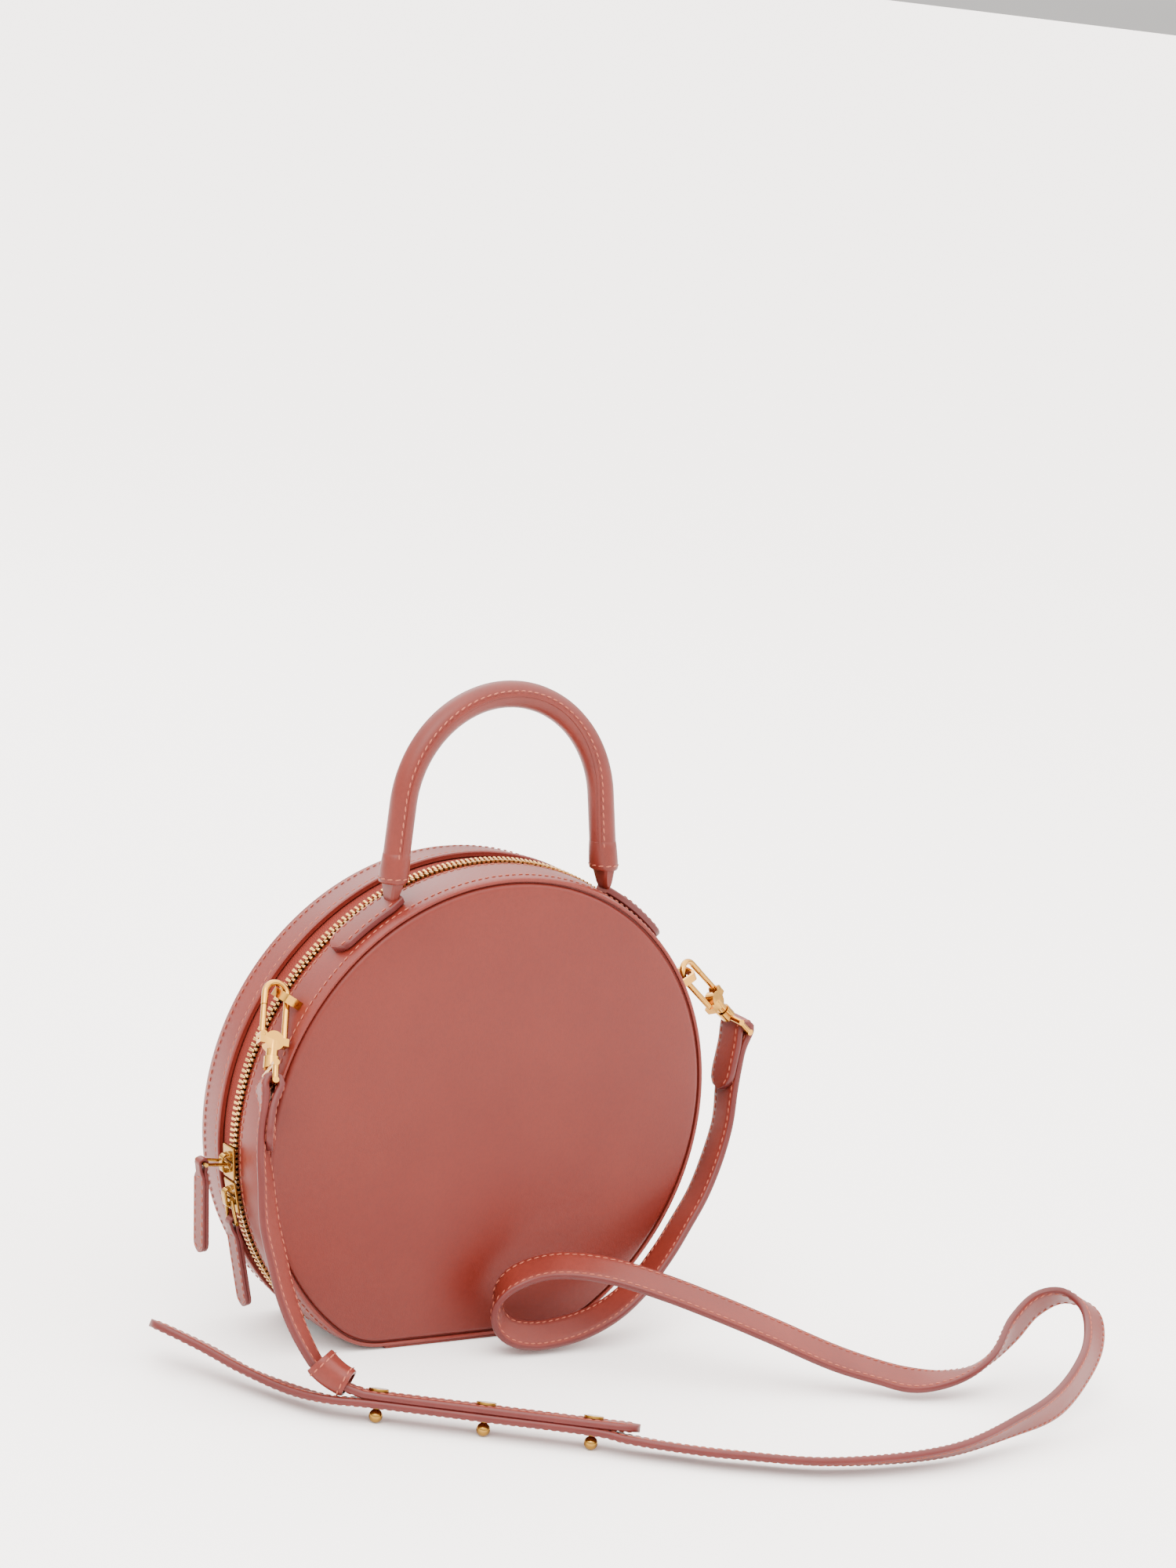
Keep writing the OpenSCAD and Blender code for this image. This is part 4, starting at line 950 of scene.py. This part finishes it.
    def join(self, whole: bmesh.types.BMesh, part: bmesh.types.BMesh) -> None:
        """Adds one mesh to another."""
        held = bpy.data.meshes.new("held")
        part.to_mesh(held)
        part.free()
        whole.from_mesh(held)
        bpy.data.meshes.remove(held)


@dataclass
class Hardware:
    """Hoops, swivel hooks, ring plates and studs, all plated."""

    shop: Workshop

    def build(self) -> None:
        """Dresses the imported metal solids."""
        paint = self.shop.finishes
        for side, hook, gate in (("left", Body.LEFT_HOOK, Body.LEFT_GATE), ("right", Body.RIGHT_HOOK, Body.RIGHT_GATE)):
            self.shop.dress(f"hoop_{side}", paint.gold, Body.SHELL, Slot.GOLD, 0.3)
            self.shop.dress(f"hook_{side}", paint.gold, hook, Slot.GOLD, 0.2)
            self.shop.dress(f"gate_{side}", paint.gold, gate, Slot.GOLD, 0.2)
            self.shop.dress(f"gate_pin_{side}", paint.gold, hook, Slot.GOLD, 0.1)
            self.shop.dress(f"ring_{side}", paint.gold, Body.SHELL, Slot.GOLD, 0.2)
        self.shop.dress("hoop_plates", paint.steel, Body.SHELL, Slot.PLATE, 0.2)
        self.shop.dress("studs", paint.brass, Body.SHELL, Slot.ZIP, 0.25)


SHORT_ROUTE = (
    (-112.8, -43.0, 95.8, 0.57, 0.8, -0.15), (-111.7, -39.8, 104.0, 0.5, 0.78, -0.3), (-110.0, -36.4, 111.3, 0.4, 0.78, -0.4),
    (-106.8, -33.6, 118.4, 0.24, 0.79, -0.56), (-107.2, -32.2, 120.3, 0.24, 0.79, -0.56), (-109.0, -31.0, 121.2, 0.24, 0.79, -0.56),
    (-111.3, -30.7, 120.6, 0.24, 0.79, -0.56), (-112.7, -31.6, 118.8, 0.24, 0.79, -0.56), (-112.9, -34.9, 111.6, 0.4, 0.78, -0.4),
    (-114.2, -37.6, 103.6, 0.5, 0.78, -0.3), (-114.7, -40.9, 95.5, 0.6, 0.78, -0.15), (-114.8, -45.1, 86.3, 0.68, 0.73, 0.0),
    (-114.4, -51.0, 70.2, 0.79, 0.62, 0.0), (-112.5, -56.5, 57.0, 0.79, 0.62, 0.0), (-110.0, -61.5, 44.0, 0.76, 0.65, 0.0),
    (-106.5, -67.5, 32.0, 0.7, 0.71, 0.0), (-101.5, -74.5, 20.5, 0.64, 0.76, -0.1), (-98.5, -78.0, 16.8, 0.6, 0.78, -0.16),
    (-95.0, -81.3, 13.9, 0.57, 0.79, -0.22), (-91.5, -84.8, 12.0, 0.55, 0.785, -0.285), (-88.0, -87.5, 10.9, 0.55, 0.785, -0.285),
    (-81.5, -92.3, 10.2, 0.55, 0.785, -0.285), (-47.0, -116.3, 10.2, 0.55, 0.785, -0.285), (-12.5, -140.3, 10.2, 0.55, 0.785, -0.285),
    (2.5, -150.8, 10.4, 0.55, 0.785, -0.285))
LONG_ROUTE = (
    (120.9, -17.6, 98.8, 0, -1, 0), (123.2, -15.6, 108.4, 0, -1, 0), (125.5, -13.9, 117.8, 0, -1, 0), (126.5, -12.6, 125.8, 0, -1, 0),
    (128.0, -12.6, 127.6, 0, -1, 0), (130.3, -12.6, 127.8, 0, -1, 0), (132.1, -12.6, 126.3, 0, -1, 0), (132.3, -12.6, 124.0, 0, -1, 0),
    (128.5, -13.9, 116.8, 0, -1, 0), (126.2, -15.6, 107.6, 0, -1, 0), (124.5, -17.3, 99.0, 0, -1, 0), (122.4, -20.5, 85.0, -0.1, -0.99, 0),
    (116.8, -24.0, 70.5, -0.1, -0.99, 0), (108.5, -28.5, 57.0, -0.15, -0.98, 0), (98.0, -33.0, 45.3, -0.2, -0.97, -0.05),
    (86.3, -38.0, 34.0, -0.28, -0.94, -0.15), (73.0, -42.0, 22.8, -0.38, -0.88, -0.28), (57.5, -45.0, 14.2, -0.47, -0.8, -0.37),
    (42.0, -45.5, 9.0, -0.52, -0.74, -0.42), (25.0, -45.3, 7.0, -0.52, -0.74, -0.42), (11.5, -45.0, 9.0, -0.52, -0.74, -0.42),
    (5.0, -43.0, 14.0, -0.52, -0.74, -0.42), (3.5, -41.5, 22.0, -0.52, -0.74, -0.42), (7.8, -42.0, 30.0, -0.52, -0.74, -0.42),
    (16.8, -45.5, 36.0, -0.52, -0.74, -0.42), (27.0, -53.5, 40.0, -0.52, -0.74, -0.42), (41.0, -66.5, 41.0, -0.52, -0.74, -0.42),
    (59.5, -80.5, 37.0, -0.52, -0.74, -0.42), (78.5, -94.0, 31.0, -0.52, -0.74, -0.42), (97.5, -105.0, 24.0, -0.52, -0.74, -0.42),
    (120.5, -117.0, 15.0, -0.52, -0.74, -0.42), (139.5, -125.5, 9.5, -0.43, -0.83, -0.36), (152.5, -133.0, 7.5, -0.32, -0.88, -0.33),
    (170.5, -136.5, 8.5, -0.07, -0.98, 0.17), (189.0, -135.0, 13.0, -0.09, -0.7, 0.7), (208.0, -127.0, 22.0, -0.42, -0.2, 0.88),
    (222.0, -123.5, 30.5, -0.49, -0.28, 0.83), (232.0, -128.5, 35.5, -0.68, -0.45, 0.58), (235.5, -141.0, 34.0, -0.9, -0.15, 0.42),
    (229.0, -154.0, 28.0, -0.69, 0.1, 0.72), (213.5, -168.0, 21.0, -0.36, 0, 0.93), (188.0, -183.0, 14.0, -0.15, -0.1, 0.98),
    (160.0, -191.5, 10.5, 0, -0.48, 0.88), (117.0, -198.5, 6.5, -0.07, -0.8, 0.6), (68.0, -192.0, 5.5, -0.29, -0.87, 0.41),
    (33.0, -175.0, 5.5, -0.47, -0.81, 0.34), (13.0, -161.5, 5.5, -0.52, -0.78, 0.33), (-2.0, -150.5, 6.3, -0.55, -0.78, 0.3),
    (-13.0, -141.0, 7.3, -0.55, -0.785, 0.285), (-47.5, -117.0, 7.3, -0.55, -0.785, 0.285), (-82.0, -93.0, 7.3, -0.55, -0.785, 0.285),
    (-97.0, -82.5, 6.5, -0.68, -0.64, 0.34), (-105.5, -69.0, 6.0, -0.82, -0.48, 0.3), (-116.0, -49.0, 7.5, -0.79, -0.46, 0.42),
    (-124.0, -31.0, 10.5, -0.78, -0.48, 0.4), (-134.0, -17.0, 14.0, -0.66, -0.65, 0.38), (-140.0, -11.5, 16.0, -0.57, -0.75, 0.35))


@dataclass
class Strap:
    """One strap: two leaves of leather stitched along both edges, with round ends and painted edges."""

    shop: Workshop
    sew: Stitching
    name: str
    route: Sequence[Sequence[float]]
    half_w: float = 7.0
    half_t: float = 1.4
    inset: float = 1.7
    step: float = 2.4

    def frames(self) -> list[tuple[Vector, Vector, Vector]]:
        """Places along the strap with its width direction and its upward direction."""
        rows = smooth_way(self.route, self.step)
        places = [Vector(r[:3]) for r in rows]
        made = []
        for i, row in enumerate(rows):
            way = (places[min(i + 1, len(rows) - 1)] - places[max(i - 1, 0)]).normalized()
            side = Vector(row[3:])
            side = (side - way * side.dot(way)).normalized()
            made.append((places[i], side, way.cross(side)))
        return made

    def reach(self, places: Sequence[Vector]) -> list[float]:
        """Distance along the strap at each place."""
        total = [0.0]
        for a, b in zip(places, places[1:]):
            total.append(total[-1] + (b - a).length)
        return total

    def build(self) -> bpy.types.Object:
        """Builds the strap and its stitches.

        Returns:
            The strap's piece.
        """
        frames = self.frames()
        reach = self.reach([f[0] for f in frames])
        halves = []
        for s in reach:
            near = min(s, reach[-1] - s)
            halves.append(self.half_w * math.sqrt(max(0.03, 1 - (1 - min(1.0, near / self.half_w)) ** 2)))
        rings = [[p + side * x + up * z for x, z in flat_section(h, self.half_t)] for (p, side, up), h in zip(frames, halves)]
        finishes = self.shop.finishes
        body = self.shop.publish(f"strap_{self.name}_leather", loft(rings, capped=True, paint=STRIP_PAINT), finishes.strap, Body.SHELL,
                                 Slot.STRAP, (f"strap_{self.name}",), sharp=50.0, second=finishes.edge)
        rows = []
        inner = [(f, h) for f, h, s in zip(frames, halves, reach) if self.inset < s < reach[-1] - self.inset]
        for face in (1, -1):
            for edge in (1, -1):
                rows.append([(p + side * edge * max(0.3, h - self.inset) + up * face * (self.half_t + 0.14), up * face) for (p, side, up), h in inner])
        stitches = self.sew.sew(f"strap_{self.name}_stitches", rows, Body.SHELL)
        return body


@dataclass
class Keeper:
    """The leather loop that holds the short strap's fold: a sewn band, rounder than the strap inside it."""

    shop: Workshop
    sew: Stitching
    rows: tuple[int, int] = (16, 20)
    skipped: int = 2
    half_w: float = 9.2
    half_t: float = 5.6
    wall: float = 1.4
    lift: float = 1.5
    squareness: float = 0.62

    def oval(self, half_w: float, half_t: float) -> list[tuple[float, float]]:
        """A soft-cornered oval of 28 corners, across and up."""
        made = []
        for i in range(28):
            a = math.radians(360 * i / 28)
            c, s = math.cos(a), math.sin(a)
            made.append((half_w * math.copysign(abs(c) ** self.squareness, c), half_t * math.copysign(abs(s) ** self.squareness, s)))
        return made

    def build(self) -> None:
        """Builds the keeper as a sleeve with two mouths and a row of stitches near each."""
        fine = smooth_way(SHORT_ROUTE[self.rows[0] : self.rows[1]], 1.0)[self.skipped :]
        places = [Vector(r[:3]) for r in fine]
        inner, outer, threads = [], [], []
        for i, row in enumerate(fine):
            way = (places[min(i + 1, len(fine) - 1)] - places[max(i - 1, 0)]).normalized()
            side = Vector(row[3:])
            side = (side - way * side.dot(way)).normalized()
            up = way.cross(side)
            centre = places[i] + up * self.lift
            thin = 0.35 if i in (0, len(fine) - 1) else 0.0
            inner.append([centre + side * x + up * z for x, z in self.oval(self.half_w - self.wall, self.half_t - self.wall)])
            outer.append([centre + side * x + up * z for x, z in self.oval(self.half_w - thin, self.half_t - thin)])
            if i in (2, len(fine) - 3):
                round_it = self.oval(self.half_w + 0.12, self.half_t + 0.12)
                threads.append([(centre + side * x + up * z, (side * x / self.half_w + up * z / self.half_t).normalized())
                                for x, z in round_it + round_it[:1]])
        self.shop.publish("keeper_leather", loft(outer + inner[::-1], looped=True), self.shop.finishes.strap, Body.SHELL, Slot.STRAP, ("keeper",))
        self.sew.sew("keeper_stitches", threads, Body.SHELL)


@dataclass
class Studio:
    """The pale sweep, the soft lamps and the camera."""

    shop: Workshop
    spot: tuple[float, float, float] = (-0.8645, -1.3012, 0.5673)
    right: tuple[float, float, float] = (0.8281, -0.5468, 0.1233)
    up: tuple[float, float, float] = (0.0149, 0.2413, 0.9703)
    ahead: tuple[float, float, float] = (0.5603, 0.8017, -0.2080)
    lens: float = 120.3
    horizon: float = 0.9
    zenith: float = 8.0

    def lamp(self, name: str, spot: Sequence[float], aim: Sequence[float], power: float, size: float, tint: str = "#FFFFFF") -> bpy.types.Object:
        """Hangs a square softbox.

        Args:
            name: the lamp's name.
            spot: its place in metres.
            aim: the place that it faces.
            power: its power in watts.
            size: its side in metres.
            tint: its colour.

        Returns:
            The lamp.
        """
        data = bpy.data.lights.new(name, "AREA")
        data.energy, data.size, data.color = power, size, linear(tint)[:3]
        lamp = bpy.data.objects.new(name, data)
        bpy.context.collection.objects.link(lamp)
        lamp.location = spot
        lamp.rotation_euler = (Vector(aim) - Vector(spot)).to_track_quat("-Z", "Y").to_euler()
        return lamp

    def build(self) -> None:
        """Builds the studio."""
        floor = bmesh.new()
        bmesh.ops.create_grid(floor, x_segments=1, y_segments=1, size=90.0)
        mesh = bpy.data.meshes.new("studio_floor")
        floor.to_mesh(mesh)
        floor.free()
        mesh.materials.append(Matte("paper_floor", "#F4F1F0", "#F6F3F2", 0.9, 300.0).make())
        sweep = bpy.data.objects.new("studio_floor", mesh)
        bpy.context.collection.objects.link(sweep)
        world = bpy.data.worlds.new("studio_air")
        bpy.context.scene.world = world
        world.use_nodes = True
        air = world.node_tree
        air.nodes.clear()
        facing = add(air, "ShaderNodeSeparateXYZ", {0: add(air, "ShaderNodeTexCoord").outputs["Generated"]})
        glow = add(air, "ShaderNodeMapRange", {"Value": facing.outputs[2], "From Min": 0.0, "From Max": 1.0,
                                               "To Min": self.horizon, "To Max": self.zenith})
        shade = add(air, "ShaderNodeBackground", {"Color": linear("#F6F2EE"), "Strength": glow.outputs[0]})
        add(air, "ShaderNodeOutputWorld", {"Surface": shade.outputs[0]})
        lamps = [self.lamp("key_softbox", (-0.9, -0.9, 1.7), (0, 0, 0.1), 30.0, 1.1, "#FFFAF5"),
                 self.lamp("fill_softbox", (1.5, -0.9, 0.9), (0, 0, 0.1), 10.0, 1.2),
                 self.lamp("back_softbox", (0.2, 1.4, 1.3), (0, 0, 0.1), 12.0, 1.0)]
        data = bpy.data.cameras.new("photo_camera")
        data.sensor_fit, data.sensor_width, data.lens = "HORIZONTAL", 36.0, self.lens
        camera = bpy.data.objects.new("photo_camera", data)
        bpy.context.collection.objects.link(camera)
        turn = Matrix((self.right, self.up, tuple(-c for c in self.ahead))).transposed()
        camera.matrix_world = Matrix.Translation(self.spot) @ turn.to_4x4()
        bpy.context.scene.camera = camera


def main() -> None:
    """Builds the bag, its pieces in order, and its studio."""
    logging.basicConfig(level=logging.INFO, format="%(name)s %(message)s")
    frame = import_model()
    shop = Workshop(Finishes(), frame["nodes"])
    sew = Stitching(shop)
    for part in (Shells(shop, sew), Zip(shop), PullTabs(shop, sew), Handle(shop, sew), Hardware(shop),
                 Strap(shop, sew, "short", SHORT_ROUTE), Strap(shop, sew, "long", LONG_ROUTE), Keeper(shop, sew), Studio(shop)):
        part.build()
        LOG.info("%s is built", type(part).__name__)
    LOG.info("%d pieces", len(shop.made))


if __name__ == "__main__":
    main()
